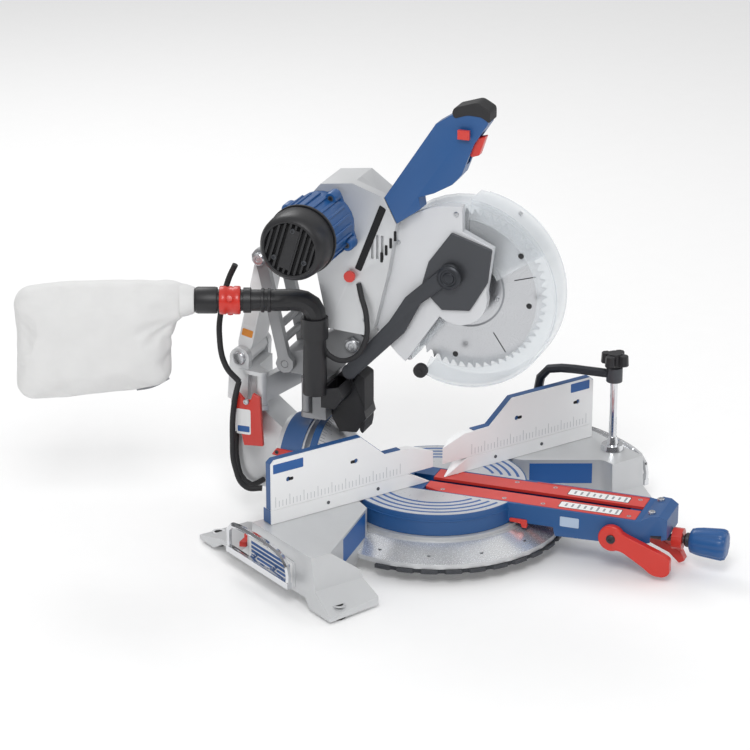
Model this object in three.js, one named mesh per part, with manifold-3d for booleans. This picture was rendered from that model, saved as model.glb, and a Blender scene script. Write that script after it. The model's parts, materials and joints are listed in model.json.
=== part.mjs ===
// A sliding miter saw whose head glides on a folding linkage instead of on rails.
// World frame: millimetres, +Z up, origin on the turntable axis at bench level,
// +X to the operator's right along the fence, +Y to the rear.
// Everything that turns with the turntable is drawn in the arm frame: x across the arm
// (operator's right), y to the rear along the arm, z up.
import * as THREE from "three";
import { mergeVertices } from "three/addons/utils/BufferGeometryUtils.js";
import Module from "manifold-3d";

const wasm = await Module();
wasm.setup();

// ---------- driving dimensions ----------
const GAP = 0.4; // between a piece and the one it rests on or is let into
// turntable axis, measured from the centre of the saw's footprint as it stands here
const PIVOT_X = 109.45;
const PIVOT_Y = 0.16;
const MITRE = THREE.MathUtils.degToRad(34.9); // the arm is swung this far to the right

const TABLE_TOP = 90;
const TABLE_RADIUS = 139.5;
const TABLE_UNDER = 56;
const ARM_HALF = 48; // half width of the turntable arm
const ARM_END = -378;
const INSERT_HALF = 42;
const INSERT_THICK = 4.8;
const KERF_HALF = 8;
const DRUM_RADIUS = 80; // bevel drum at the back of the turntable, about the arm axis

const ARM_AXIS = 50; // height of the mitre knob's rod

const BASE_HALF = 325;
const RING_RADIUS = 198;
const RING_UNDER = 27;
const FOOT_PAD = 5;
const FOOT_RADIUS = 15;
const FENCE_TOP = 194;
const FENCE_SPLIT = 113; // lower fence below, sliding fence above
const FENCE_END = 308;
const FENCE_DEPTH = 20;
const FENCE_SKIN = 12; // thickness of the sliding fence above its rib

// chrome frame of a side extension: legs at x, bars between rear and front, top and low
const EXTENSION = { x: 342, rod: 4.5, top: 78, low: 38, rear: 66, front: -96 };
const ROD_LINES = [-40, 14]; // y of the rods that slide in the base
const ROD_END = 185;
const EXTENSION_LOCK = { x: 300, y: 76, z: 34 };
const CLAMP_POST = { x: 228, y: 38, top: 218, r: 7.5 };
const CLAMP_ROD = { x: 303, y: -58, top: 246, r: 6 };
const BEVEL_LEVER = { y: -298, z: 60, x0: -60, x1: -ARM_HALF - GAP };

const LINK = 173.2; // every link and leaf, pivot to pivot
const LINK_LEAN = THREE.MathUtils.degToRad(12.67); // of each link from its folded state
const TOWER_PIVOT = { y: 312, z: 268 };
const LEAF_PIVOT = { x: -45, y: 275 };
const LEAF_LOW = 196;
const LEAF_HIGH = 244;
const SADDLE_BACK = 2 * LINK * Math.sin(LINK_LEAN); // pivot spacing at this lean
const APEX = {
  y: TOWER_PIVOT.y - LINK * Math.sin(LINK_LEAN),
  z: TOWER_PIVOT.z + LINK * Math.cos(LINK_LEAN),
};
const SADDLE_PIVOT = { y: TOWER_PIVOT.y - SADDLE_BACK, z: TOWER_PIVOT.z };
const LEAF_APEX = {
  x: LEAF_PIVOT.x + LINK * Math.cos(LINK_LEAN),
  y: LEAF_PIVOT.y - LINK * Math.sin(LINK_LEAN),
};
const SADDLE_LEAF = { x: LEAF_PIVOT.x, y: LEAF_PIVOT.y - SADDLE_BACK };
const INNER_HALF = 33; // half width of the tower post, rear link and saddle block
const OUTER_HALF = 47; // half width over the front link's two rails
const LEAF_PIN = 4.5; // radius of the upright pins, the saddle's included
const LEAF_EYE = 6.5; // radius of the front leaf's eye on the saddle pin
const LINK_PIN = 5.5; // radius of the tower and saddle pins

const CHOP = { y: 125, z: 312 }; // pivot the head swings down about
const CHOP_PIN = 7;
const PIPE = { x: -78, y: 173, z: 391 }; // bend of the dust pipe
const PIPE_HEAD = 20; // degrees the pipe points to the left of straight back
const PIPE_RADIUS = 16.5;
const BAG_HALF = 34; // half thickness of the dust bag
const BAG_BEVEL = 12;

const ARBOR = { y: -44, z: 411 };
const BLADE_RADIUS = 127;
const BLADE_HALF = 1.2;
const BLADE_HOLE = 8;
const FLANGE_RADIUS = 20;
const TEETH = 30;
const GUARD_RADIUS = 143;
const SWING_GUARD_RADIUS = 150.5;
const SWING_GUARD_INNER = 146;
const SWING_FROM = 95; // the swinging guard spans these angles about the arbor
const SWING_TO = 294;
const ROLLER = { y: 18, z: 281 };
const GUARD_LINK = { y: 127, z: 271 };
const CASE_LEFT = -40.5; // belt case between these two planes
const CASE_RIGHT = -26.5;
const SPINDLE_LOCK = { y: 120, z: 432 };
const LOCK_OFF = { y: -58, z: 672 };
const MOTOR = { y: 164, z: 511 };
const MOTOR_RADIUS = 50;
const MOTOR_FACE = -60.4;
const MOTOR_SPLIT = -150; // housing to end cap
const MOTOR_END = -200;
const MOTOR_PULLEY = 10;
const BLADE_PULLEY = 34;
const BELT_THICK = 2.4;

// joint between the head casting and the foot of the handle
const HANDLE_FOOT = [
  [68, 560],
  [48, 521],
];

// ---------- colours ----------
const finish = (color, roughness, metalness) =>
  new THREE.MeshStandardMaterial({ color, roughness, metalness });
const blue = finish(0x1f5aa6, 0.45, 0.1);
const red = finish(0xe23a22, 0.45, 0.05);
const cast = finish(0xc9cbcd, 0.5, 0.35);
const white = finish(0xeceef0, 0.4, 0.3);
const grey = finish(0xb9bdc2, 0.5, 0.3);
const dark = finish(0x34373b, 0.55, 0.2);
const black = finish(0x17181a, 0.65, 0.0);
const rubber = finish(0x222325, 0.85, 0.0);
const steel = finish(0xa9adb2, 0.3, 0.9);
const chrome = finish(0xd9dde2, 0.12, 1.0);
const clear = finish(0xdfe6ea, 0.1, 0.0);
const cloth = finish(0xf4f4f2, 0.95, 0.0);
const copper = finish(0xb06a3a, 0.4, 0.7);

// ---------- solids ----------
function solid(geometry) {
  const bare = geometry.index ? geometry.toNonIndexed() : geometry.clone();
  bare.deleteAttribute("normal");
  bare.deleteAttribute("uv");
  const merged = mergeVertices(bare, 1e-4);
  return new wasm.Manifold(
    new wasm.Mesh({
      numProp: 3,
      vertProperties: new Float32Array(merged.attributes.position.array),
      triVerts: new Uint32Array(merged.index.array),
    }),
  );
}

function join(first, ...rest) {
  return rest.reduce((sum, next) => sum.add(next), first);
}

function cut(body, ...tools) {
  return tools.reduce((left, tool) => left.subtract(tool), body);
}

function geometryOf(body) {
  const mesh = body.getMesh();
  const positions = new Float32Array(mesh.numVert * 3);
  for (let i = 0; i < mesh.numVert; i++) {
    positions.set(mesh.vertProperties.subarray(i * mesh.numProp, i * mesh.numProp + 3), i * 3);
  }
  const geometry = new THREE.BufferGeometry();
  geometry.setAttribute("position", new THREE.BufferAttribute(positions, 3));
  geometry.setIndex(new THREE.BufferAttribute(new Uint32Array(mesh.triVerts), 1));
  geometry.computeVertexNormals();
  return geometry;
}

function piece(name, body, material) {
  const mesh = new THREE.Mesh(geometryOf(body), material);
  mesh.name = name;
  return mesh;
}

function box(x0, x1, y0, y1, z0, z1) {
  const geometry = new THREE.BoxGeometry(x1 - x0, y1 - y0, z1 - z0);
  geometry.translate((x0 + x1) / 2, (y0 + y1) / 2, (z0 + z1) / 2);
  return solid(geometry);
}

// ---------- outlines: a list of [u, v] points, extruded along the third axis ----------
function extruded(points, depth) {
  const shape = new THREE.Shape(points.map(([u, v]) => new THREE.Vector2(u, v)));
  return new THREE.ExtrudeGeometry(shape, { depth, bevelEnabled: false, curveSegments: 1 });
}

// [y, z] outline, extruded from x0 to x1
function side(points, x0, x1) {
  const geometry = extruded(points, x1 - x0);
  geometry.applyMatrix4(new THREE.Matrix4().set(0, 0, 1, x0, 1, 0, 0, 0, 0, 1, 0, 0, 0, 0, 0, 1));
  return solid(geometry);
}

// [x, y] outline, extruded from z0 to z1
function plan(points, z0, z1) {
  const geometry = extruded(points, z1 - z0);
  geometry.translate(0, 0, z0);
  return solid(geometry);
}

// [x, z] outline, extruded from y0 to y1
function front(points, y0, y1) {
  const geometry = extruded(points, y1 - y0);
  geometry.applyMatrix4(new THREE.Matrix4().set(1, 0, 0, 0, 0, 0, -1, y1, 0, 1, 0, 0, 0, 0, 0, 1));
  return solid(geometry);
}

function arc(u, v, r, from, to, steps) {
  const points = [];
  for (let i = 0; i <= steps; i++) {
    const angle = THREE.MathUtils.degToRad(from + ((to - from) * i) / steps);
    points.push([u + r * Math.cos(angle), v + r * Math.sin(angle)]);
  }
  return points;
}

// ---------- round bars between two points along an axis ----------
function barX(y, z, r, x0, x1, segments = 16) {
  const geometry = new THREE.CylinderGeometry(r, r, x1 - x0, segments);
  geometry.rotateZ(Math.PI / 2).translate((x0 + x1) / 2, y, z);
  return solid(geometry);
}

function barY(x, z, r, y0, y1, segments = 16, rEnd = r) {
  const geometry = new THREE.CylinderGeometry(rEnd, r, y1 - y0, segments);
  geometry.translate(x, (y0 + y1) / 2, z);
  return solid(geometry);
}

function barZ(x, y, r, z0, z1, segments = 16, rTop = r) {
  const geometry = new THREE.CylinderGeometry(rTop, r, z1 - z0, segments);
  geometry.rotateX(Math.PI / 2).translate(x, y, (z0 + z1) / 2);
  return solid(geometry);
}

// ring about the x axis
function ringX(y, z, inner, outer, x0, x1, segments = 24) {
  return cut(barX(y, z, outer, x0, x1, segments), barX(y, z, inner, x0 - 1, x1 + 1, segments));
}

function tube(points, r, steps, sides = 8) {
  const path = new THREE.CatmullRomCurve3(
    points.map(([x, y, z]) => new THREE.Vector3(x, y, z)),
    false,
    "centripetal",
  );
  const shape = new THREE.Shape(
    arc(0, 0, r, 0, 360 - 360 / sides, sides - 1).map(([u, v]) => new THREE.Vector2(u, v)),
  );
  return solid(new THREE.ExtrudeGeometry(shape, { steps, extrudePath: path, bevelEnabled: false }));
}

// rectangle with cut corners in the plane of an outline
function chamfered(u0, u1, v0, v1, c) {
  return [
    [u0 + c, v0],
    [u1 - c, v0],
    [u1, v0 + c],
    [u1, v1 - c],
    [u1 - c, v1],
    [u0 + c, v1],
    [u0, v1 - c],
    [u0, v0 + c],
  ];
}

// mirrors [x, ...] points to the other side
const mirrored = (points, hand) => points.map(([x, ...rest]) => [hand * x, ...rest]);

// ---------- base ----------
// One side block of the base: a rail from the front foot to the rear foot, cut to its plan shape.
function sideBlock(hand, outline, profile) {
  const rail = side(profile, ...between(hand, 140, BASE_HALF));
  return rail.intersect(plan(mirrored(outline, hand), -1, TABLE_TOP + 1));
}

function baseCasting() {
  const footTop = 12;
  const under = 20;
  const leftProfile = [
    [-182, FOOT_PAD + GAP],
    [-128, FOOT_PAD + GAP],
    [-116, under],
    [116, under],
    [140, FOOT_PAD + GAP],
    [182, FOOT_PAD + GAP],
    [182, footTop],
    [120, 28],
    [60, 30],
    [29, 56],
    [27, TABLE_TOP],
    [-133, TABLE_TOP],
    [-142, 40],
    [-182, footTop],
  ];
  const rightProfile = [
    [-158, FOOT_PAD + GAP],
    [-104, FOOT_PAD + GAP],
    [-92, under],
    ...leftProfile.slice(3, 10),
    [27, TABLE_TOP],
    [-109, TABLE_TOP],
    [-111, 40],
    [-158, footTop],
  ];
  const rearOutline = [
    [148, 0],
    [147, 30],
    [170, 60],
    [222, 110],
    [236, 182],
    [325, 182],
  ];
  const leftOutline = [
    [325, -182],
    [232, -172],
    [240, -140],
    [291, -133],
    [252, -103],
    [153, -28],
    ...rearOutline,
  ];
  const rightOutline = [
    [325, -158],
    [262, -158],
    [262, -90],
    [258, -83],
    [158, -14],
    ...rearOutline,
  ];
  const ring = barZ(0, 0, RING_RADIUS, RING_UNDER, 34.1, 40);
  const rise = barZ(0, 0, RING_RADIUS, 34, 50, 40, 152);
  const seat = barZ(0, 0, 146, 49, TABLE_UNDER - GAP, 40);
  const body = join(
    ring,
    rise,
    seat,
    sideBlock(-1, leftOutline, leftProfile),
    sideBlock(1, rightOutline, rightProfile),
    barZ(CLAMP_POST.x, CLAMP_POST.y, 15, under, TABLE_TOP),
  );
  return cut(
    body,
    barZ(0, 0, 9, 0, 100),
    barZ(CLAMP_POST.x, CLAMP_POST.y, CLAMP_POST.r + 0.8, 30, 100),
    ...[-1, 1].map((hand) => extensionSockets(hand)),
  );
}

// ---------- fences: the lower half bolted down, the upper half sliding on it ----------
function lowerFence(hand) {
  // the inner end slopes away so that a tilted blade clears it
  const outline = [
    [14, TABLE_TOP + GAP],
    [58, FENCE_SPLIT],
    [FENCE_END, FENCE_SPLIT],
    [FENCE_END, TABLE_TOP + GAP],
  ];
  const plate = front(mirrored(outline, hand), 0, FENCE_DEPTH);
  const relief = plan(mirrored(FENCE_RELIEF, hand), 0, FENCE_TOP);
  return cut(plate, relief);
}

// plan outline cleared behind the gap, for the blade at full mitre
const FENCE_RELIEF = [
  [0, -1],
  [8, -1],
  [9, 0],
  [54, FENCE_DEPTH + 6],
  [0, FENCE_DEPTH + 6],
];

function upperFence(hand) {
  const bottom = FENCE_SPLIT + GAP;
  const outline = [
    [8, bottom],
    [8, 140],
    [52, 155],
    [100, 156],
    [144, FENCE_TOP],
    [FENCE_END - 6, FENCE_TOP],
    [FENCE_END, 188],
    [FENCE_END, bottom],
  ];
  const plate = front(mirrored(outline, hand), 0, FENCE_SKIN);
  const rib = box(
    ...between(hand, 110, FENCE_END - 20),
    FENCE_SKIN - 1,
    FENCE_DEPTH,
    bottom,
    bottom + 14,
  );
  const relief = plan(mirrored(FENCE_RELIEF, hand), 0, FENCE_TOP + 1);
  const holes = [154, 277].map((x) => barY(hand * x, 158, 4, -1, FENCE_SKIN + 1, 12));
  return cut(join(plate, rib), relief, ...holes);
}

// sorted pair hand * a, hand * b
const between = (hand, a, b) => [hand * a, hand * b].sort((m, n) => m - n);

// ---------- side extensions: a chrome frame that pulls out of each end of the base ----------
function extensionFrame(hand) {
  const { x, rod, top, low, rear, front: fore } = EXTENSION;
  const frame = tube(
    mirrored(
      [
        [x, rear, low],
        [x, rear, top - 8],
        [x, rear - 8, top],
        [x, fore + 16, top],
        [x, fore, top - 16],
        [x, fore, low],
      ],
      hand,
    ),
    rod,
    15,
    6,
  );
  const sill = box(...between(hand, x - 4, x + 4), fore - 4, rear + 4, low - 6, low + 4);
  const rods = ROD_LINES.map((y) => barX(y, low, rod, ...between(hand, ROD_END, x), 8));
  return join(frame, sill, ...rods);
}

function extensionSockets(hand) {
  const { low, rod } = EXTENSION;
  return ROD_LINES.map((y) =>
    barX(y, low, rod + GAP, ...between(hand, ROD_END - 5, 345), 8),
  ).reduce((sum, next) => sum.add(next));
}

// small lever that clamps a pulled-out extension, turning on a boss at the back of the base
function extensionLock(hand) {
  const { x, y, z } = EXTENSION_LOCK;
  const hub = barZ(hand * x, y, 8, z + GAP, z + 12, 12);
  const lever = [
    [x - 4, y + 6],
    [x - 4, y - 6],
    [x + 20, y - 22],
    [x + 27, y - 14],
  ];
  return join(hub, plan(mirrored(lever, hand), z + 3, z + 11));
}

// notched steel ring under the front of the base that the detent lever drops into
function detentPlate() {
  const outer = 202;
  const notch = 4;
  const from = 206;
  const to = 334;
  const teeth = 12;
  const step = (to - from) / teeth;
  const rim = [];
  for (let i = 0; i < teeth; i++) {
    const a = from + i * step;
    rim.push(...arc(0, 0, outer, a, a + step * 0.6, 2));
    rim.push(...arc(0, 0, outer - notch, a + step * 0.7, a + step * 0.9, 1));
  }
  return plan([...rim, ...arc(0, 0, 172, to, from, 16)], 20.5, RING_UNDER - GAP);
}

function footPad(x, y) {
  return barZ(x, y, FOOT_RADIUS, 0, FOOT_PAD, 12);
}

// ---------- hold-down clamp on the right ----------
function clampPost() {
  const { x, y, top, r } = CLAMP_POST;
  const reach = { x: CLAMP_ROD.x - x, y: CLAMP_ROD.y - y };
  const bent = tube(
    [
      [x, y, 34],
      [x, y, 100],
      [x, y, top - 25],
      [x + 0.08 * reach.x, y + 0.08 * reach.y, top - 6],
      [x + 0.25 * reach.x, y + 0.25 * reach.y, top],
      [x + 0.97 * reach.x, y + 0.97 * reach.y, top],
    ],
    r,
    14,
    8,
  );
  const collar = barZ(CLAMP_ROD.x, CLAMP_ROD.y, 13, top - 12, top + 12, 16);
  return cut(join(bent, collar), barZ(CLAMP_ROD.x, CLAMP_ROD.y, CLAMP_ROD.r + 0.5, 100, 300, 12));
}

function clampRod() {
  const { x, y, top, r } = CLAMP_ROD;
  const pad = barZ(x, y, 19, TABLE_TOP + GAP, TABLE_TOP + 9, 16, 17);
  const ball = barZ(x, y, 10, TABLE_TOP + 8, TABLE_TOP + 22, 12, 7);
  return join(pad, ball, barZ(x, y, r, TABLE_TOP + 20, top, 12));
}

function clampKnob() {
  const { x, y, top, r } = CLAMP_ROD;
  const low = CLAMP_POST.top + 14;
  const hub = barZ(x, y, 13, low, top + 8, 12, 12);
  const lobes = [0, 1, 2, 3].map((i) => {
    const a = (i * Math.PI) / 2 + 0.4;
    return barZ(x + 15 * Math.cos(a), y + 15 * Math.sin(a), 9, low + 3, top + 6, 8, 8);
  });
  return cut(join(hub, ...lobes), barZ(x, y, r + GAP, low - 1, top + GAP, 12));
}

// ---------- turntable and its arm (arm frame from here on) ----------
function turntable() {
  const disc = barZ(0, 0, TABLE_RADIUS, TABLE_UNDER, TABLE_TOP, 56);
  const armSide = side(
    [
      [-100, 60],
      [-203, 60],
      [-206, 46],
      [-280, 48],
      [-345, 52],
      [ARM_END, 60],
      [ARM_END, 92],
      [-366, 98],
      [-352, 97],
      [-340, TABLE_TOP],
      [-100, TABLE_TOP],
    ],
    -ARM_HALF,
    ARM_HALF,
  );
  const armPlan = plan(
    [
      [-ARM_HALF, -100],
      [-ARM_HALF, -330],
      [-34, ARM_END - 1],
      [34, ARM_END - 1],
      [ARM_HALF, -330],
      [ARM_HALF, -100],
    ],
    0,
    120,
  );
  const neck = box(-38, 38, 110, 190, TABLE_UNDER + 1, 84);
  const cone = barY(0, TABLE_TOP, 48, 138, 178, 32, 78);
  const rim = barY(0, TABLE_TOP, DRUM_RADIUS, 178, 190, 32);
  const drum = join(cone, rim).intersect(box(-70, 70, 100, 200, TABLE_UNDER + 1, 200));
  const body = join(disc, armSide.intersect(armPlan), neck, drum);
  const pocketFloor = TABLE_TOP - INSERT_THICK - GAP;
  const half = INSERT_HALF + GAP;
  return cut(
    body,
    box(-half, half, -331, 9.5, pocketFloor, TABLE_TOP + 1),
    box(-14, 14, -310, 42, 70, TABLE_TOP + 1),
    box(7 - ARM_HALF, ARM_HALF - 7, -370, -207, 30, 66),
    barY(0, ARM_AXIS, 6.5, ARM_END - 5, -320, 12),
    barZ(0, 0, 7.5, 40, 80),
    barY(0, TABLE_TOP, 12.5, 132, 200),
  );
}

function kerfInsert(hand) {
  const rearEnd = hand > 0 ? 9 : -18;
  const outline = [
    [KERF_HALF, -330.5],
    [INSERT_HALF, -330.5],
    [INSERT_HALF, rearEnd],
    [INSERT_HALF - 12, 9],
    [KERF_HALF, 9],
  ];
  return plan(mirrored(outline, hand), TABLE_TOP - INSERT_THICK, TABLE_TOP);
}

function pivotBolt() {
  return join(barZ(0, 0, 7, 22, 69.4, 12), barZ(0, 0, 13, 21, 26.5, 6));
}

function mitreKnob() {
  const rod = barY(0, ARM_AXIS, 6, -410, -322, 10);
  const grip = barY(0, ARM_AXIS, 25, -464, -408, 14, 20);
  const ribs = [0, 1, 2, 3, 4, 5].map((i) => {
    const a = (i * Math.PI) / 3;
    return barY(22 * Math.cos(a), ARM_AXIS + 22 * Math.sin(a), 7, -460, -414, 8, 4);
  });
  return join(rod, grip, ...ribs);
}

// thumb wheel behind the mitre knob that sets the bevel range
function bevelRangeWheel() {
  const wheel = barY(0, ARM_AXIS, 17, -396, ARM_END - 2, 12);
  return cut(wheel, barY(0, ARM_AXIS, 6.5, -400, -370, 12));
}

function detentLever() {
  const outline = [
    [-336, 44],
    [-350, 46],
    [-390, 24],
    [-397, 10],
    [-388, 5],
    [-372, 20],
    [-338, 34],
  ];
  return side(outline, 8, 26);
}

// long lever on the left of the arm that locks the bevel
function bevelLever() {
  const { y, z, x0, x1 } = BEVEL_LEVER;
  const blade = side(
    [
      [y + 4, z + 17],
      [-338, 61],
      [-372, 38],
      [-392, 12],
      [-384, 8],
      [-350, 30],
      [y - 10, 42],
    ],
    x0 + 1,
    x1 - 1,
  );
  return join(barX(y, z, 21, x0, x1, 24), blade);
}

// ---------- tower: tilts about the arm axis and carries the linkage ----------
function tower() {
  const hub = join(
    barY(0, TABLE_TOP, 54, 193, 202, 32),
    barY(0, TABLE_TOP, 74, 201, 246, 32).intersect(box(-62, 62, 190, 250, 38, 170)),
  );
  const post = side(
    [
      [240, 52],
      [240, 150],
      [289, 190],
      [289, 254],
      [297, 262],
      ...arc(TOWER_PIVOT.y, TOWER_PIVOT.z, 16, 180, 0, 6),
      [334, 213],
      [330, 60],
      [318, 50],
      [275, 50],
    ],
    -INNER_HALF,
    INNER_HALF,
  );
  const boss = barX(TOWER_PIVOT.y, TOWER_PIVOT.z, 16.5, -OUTER_HALF, OUTER_HALF, 16);
  const cheeks = side(
    [
      [TOWER_PIVOT.y - 16, TOWER_PIVOT.z],
      [TOWER_PIVOT.y + 16, TOWER_PIVOT.z],
      [333, 200],
      [300, 190],
    ],
    -OUTER_HALF,
    OUTER_HALF,
  );
  const lug = (low, high) =>
    join(
      barZ(LEAF_PIVOT.x, LEAF_PIVOT.y, 10, low, high, 12),
      plan(
        [
          [LEAF_PIVOT.x - 10, LEAF_PIVOT.y],
          [LEAF_PIVOT.x + 10, LEAF_PIVOT.y],
          [-20, 292],
          [-20, 318],
          [LEAF_PIVOT.x - 2, 318],
        ],
        low,
        high,
      ),
    );
  const body = join(
    hub,
    post,
    boss,
    cheeks,
    lug(LEAF_LOW - 8, LEAF_LOW - GAP),
    lug(LEAF_HIGH + GAP, LEAF_HIGH + 7),
  );
  // the rear link's boss turns between the cheeks on the tower's own pin
  const linkSlot = box(-33.6, 33.6, 280, 345, 251, 300);
  const pin = barX(TOWER_PIVOT.y, TOWER_PIVOT.z, LINK_PIN, -40, 40, 12);
  return join(
    cut(
      body,
      linkSlot,
      barZ(LEAF_PIVOT.x, LEAF_PIVOT.y, 5, 150, 260, 12),
      barY(0, TABLE_TOP, 12.5, 190, 262),
    ),
    pin,
  );
}

// shaft along the arm axis that the tower tilts on
function bevelShaft() {
  return barY(0, TABLE_TOP, 12, 133, 260);
}

// clip on the left of the tower that stores the hex key
function toolHolder() {
  const plate = side(
    [
      [268, 131],
      [300, 129],
      [316, 205],
      [310, 218],
      [298, 205],
      [288, 206],
      [284, 218],
      [272, 212],
    ],
    -62.5,
    -56,
  );
  const foot = box(-57, -33 - GAP, 282, 302, 140, 176);
  return cut(join(plate, foot), barX(292, 160, 3, -64, -50, 8));
}

// supply cable along the left side of the tower
function powerCord() {
  return tube(
    [
      [-40, 322, 140],
      [-41, 322, 100],
      [-41, 314, 66],
      [-41, 296, 54],
      [-40, 276, 66],
    ],
    4.5,
    10,
    6,
  );
}

// ---------- linkage ----------
// a link in the y-z plane between two pivots, round at both ends
function linkOutline(from, to, r, waist) {
  const along = Math.atan2(to.z - from.z, to.y - from.y);
  const length = Math.hypot(to.y - from.y, to.z - from.z);
  const shoulder = 6;
  const drawn = [
    ...arc(0, 0, r, 40, 320, 7),
    [r + shoulder, -waist],
    [length - r - shoulder, -waist],
    ...arc(length, 0, r, 220, 500, 7),
    [length - r - shoulder, waist],
    [r + shoulder, waist],
  ];
  const c = Math.cos(along);
  const s = Math.sin(along);
  return drawn.map(([u, v]) => [from.y + u * c - v * s, from.z + u * s + v * c]);
}

function rearLink() {
  const plate = side(linkOutline(TOWER_PIVOT, APEX, 15, 12), -INNER_HALF, INNER_HALF);
  return cut(
    plate,
    barX(TOWER_PIVOT.y, TOWER_PIVOT.z, LINK_PIN + GAP, -40, 40, 12),
    barX(APEX.y, APEX.z, 6.5, -40, 40, 12),
  );
}

function frontLink() {
  const outline = linkOutline(SADDLE_PIVOT, APEX, 15, 9);
  const inner = INNER_HALF + 2;
  const rails = [side(outline, -OUTER_HALF, -inner), side(outline, inner, OUTER_HALF)];
  const at = (share) => ({
    y: SADDLE_PIVOT.y + share * (APEX.y - SADDLE_PIVOT.y),
    z: SADDLE_PIVOT.z + share * (APEX.z - SADDLE_PIVOT.z),
  });
  const bars = [0.2, 0.34].map((share) => barX(at(share).y, at(share).z, 6, -36, 36, 8));
  return cut(
    join(...rails, ...bars),
    barX(APEX.y, APEX.z, 6.5, -50, 50, 12),
    barX(SADDLE_PIVOT.y, SADDLE_PIVOT.z, 6.1, -50, 50, 12),
  );
}

function apexPin() {
  const pin = barX(APEX.y, APEX.z, 6, -50, 50, 12);
  return join(pin, barX(APEX.y, APEX.z, 11, -53, -47.6, 12), barX(APEX.y, APEX.z, 11, 47.6, 53, 12));
}

// a leaf lying flat between two upright pins; near the shared pin it keeps to its own half height
function leaf(from, low, high) {
  const r = 9;
  const middle = (LEAF_LOW + LEAF_HIGH) / 2;
  const dx = LEAF_APEX.x - from.x;
  const dy = LEAF_APEX.y - from.y;
  const c = dx / LINK;
  const s = dy / LINK;
  const strip = (u0, u1, half) =>
    [
      [u0, -half],
      [u1, -half],
      [u1, half],
      [u0, half],
    ].map(([u, v]) => [from.x + u * c - v * s, from.y + u * s + v * c]);
  return join(
    barZ(from.x, from.y, r, LEAF_LOW, LEAF_HIGH, 12),
    plan(strip(0, LINK - 56, 6), LEAF_LOW + 4, LEAF_HIGH - 4),
    plan(strip(LINK - 57, LINK, 6), Math.max(low, LEAF_LOW + 4), Math.min(high, LEAF_HIGH - 4)),
    barZ(LEAF_APEX.x, LEAF_APEX.y, r, low, high, 12),
    plan(strip(LINK - 70, LINK - 50, 6), middle - 10, middle + 10),
  );
}

function rearLeaf() {
  const middle = (LEAF_LOW + LEAF_HIGH) / 2;
  const pin = (x, y, low, high) => barZ(x, y, LEAF_PIN, low, high, 10);
  return join(
    leaf(LEAF_PIVOT, LEAF_LOW, middle - GAP),
    pin(LEAF_PIVOT.x, LEAF_PIVOT.y, LEAF_LOW - 8, LEAF_HIGH + 7),
    pin(LEAF_APEX.x, LEAF_APEX.y, LEAF_LOW, LEAF_HIGH + 3),
  );
}

function frontLeaf() {
  const middle = (LEAF_LOW + LEAF_HIGH) / 2;
  return cut(
    leaf(SADDLE_LEAF, middle + GAP, LEAF_HIGH),
    barZ(LEAF_APEX.x, LEAF_APEX.y, LEAF_PIN + 0.5, 150, 260, 12),
    barZ(SADDLE_LEAF.x, SADDLE_LEAF.y, LEAF_EYE, 150, 260, 12),
  );
}

// ---------- saddle: the casting that glides and carries the head ----------
function saddle() {
  const block = side(
    [
      [153, 262],
      [168, 249],
      [SADDLE_PIVOT.y - 6, 249],
      ...arc(SADDLE_PIVOT.y, SADDLE_PIVOT.z, 15, -60, 100, 6),
      [205, 292],
      [172, 322],
      [153, 334],
    ],
    -INNER_HALF,
    INNER_HALF,
  );
  const ear = (x0, x1) =>
    side(
      [
        ...arc(CHOP.y, CHOP.z, 21, 90, 270, 7),
        [156, 262],
        [176, 270],
        [172, 322],
        [153, 333],
      ],
      x0,
      x1,
    );
  const web = box(-55, 33, 165, 187, LEAF_LOW - 9, 252);
  const lug = (low, high) =>
    join(
      barZ(SADDLE_LEAF.x, SADDLE_LEAF.y, 10, low, high, 12),
      box(-55, -30, 180, SADDLE_LEAF.y, low, high),
    );
  const leafPin = barZ(SADDLE_LEAF.x, SADDLE_LEAF.y, LEAF_PIN, LEAF_LOW - 8, LEAF_HIGH + 7, 10);
  const linkPin = barX(SADDLE_PIVOT.y, SADDLE_PIVOT.z, LINK_PIN, -OUTER_HALF, OUTER_HALF, 12);
  return cut(
    join(
      block,
      ear(-38, -26.5),
      ear(26.5, 38),
      web,
      lug(LEAF_LOW - 9, LEAF_LOW - GAP),
      lug(LEAF_HIGH + GAP, LEAF_HIGH + 8),
      leafPin,
      linkPin,
    ),
    barX(CHOP.y, CHOP.z, CHOP_PIN + 0.5, -50, 50, 14),
  );
}

function chopPin() {
  return join(
    barX(CHOP.y, CHOP.z, CHOP_PIN, -43, 43, 12),
    barX(CHOP.y, CHOP.z, 13, -44, -38 - GAP, 6),
    barX(CHOP.y, CHOP.z, 13, 38 + GAP, 44, 6),
  );
}

// ---------- dust path ----------
function dustChute() {
  const mouth = side(
    [
      [133, 264],
      [127, 248],
      [112, 212],
      [106, 190],
      [122, 165],
      [150, 163],
      [163, 186],
      [163, 246],
      [150, 258],
    ],
    -34,
    10,
  );
  const elbow = side(
    [
      [134, 254],
      [128, 236],
      [140, 218],
      [163, 218],
      [163, 248],
    ],
    -80,
    -33.8,
  );
  const riser = barZ(PIPE.x, PIPE.y, 19, 240, 330, 16, 17.5);
  const passage = join(
    side(
      [
        [132, 252],
        [118, 214],
        [112, 188],
        [104, 160],
        [150, 160],
        [156, 190],
        [156, 252],
      ],
      -30,
      6,
    ),
    side(
      [
        [136, 256],
        [136, 226],
        [157, 226],
        [157, 256],
      ],
      -78,
      -28,
    ),
    barZ(PIPE.x, PIPE.y, 15, 246, 340, 16),
  );
  return cut(join(mouth, elbow, riser), passage);
}

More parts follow.
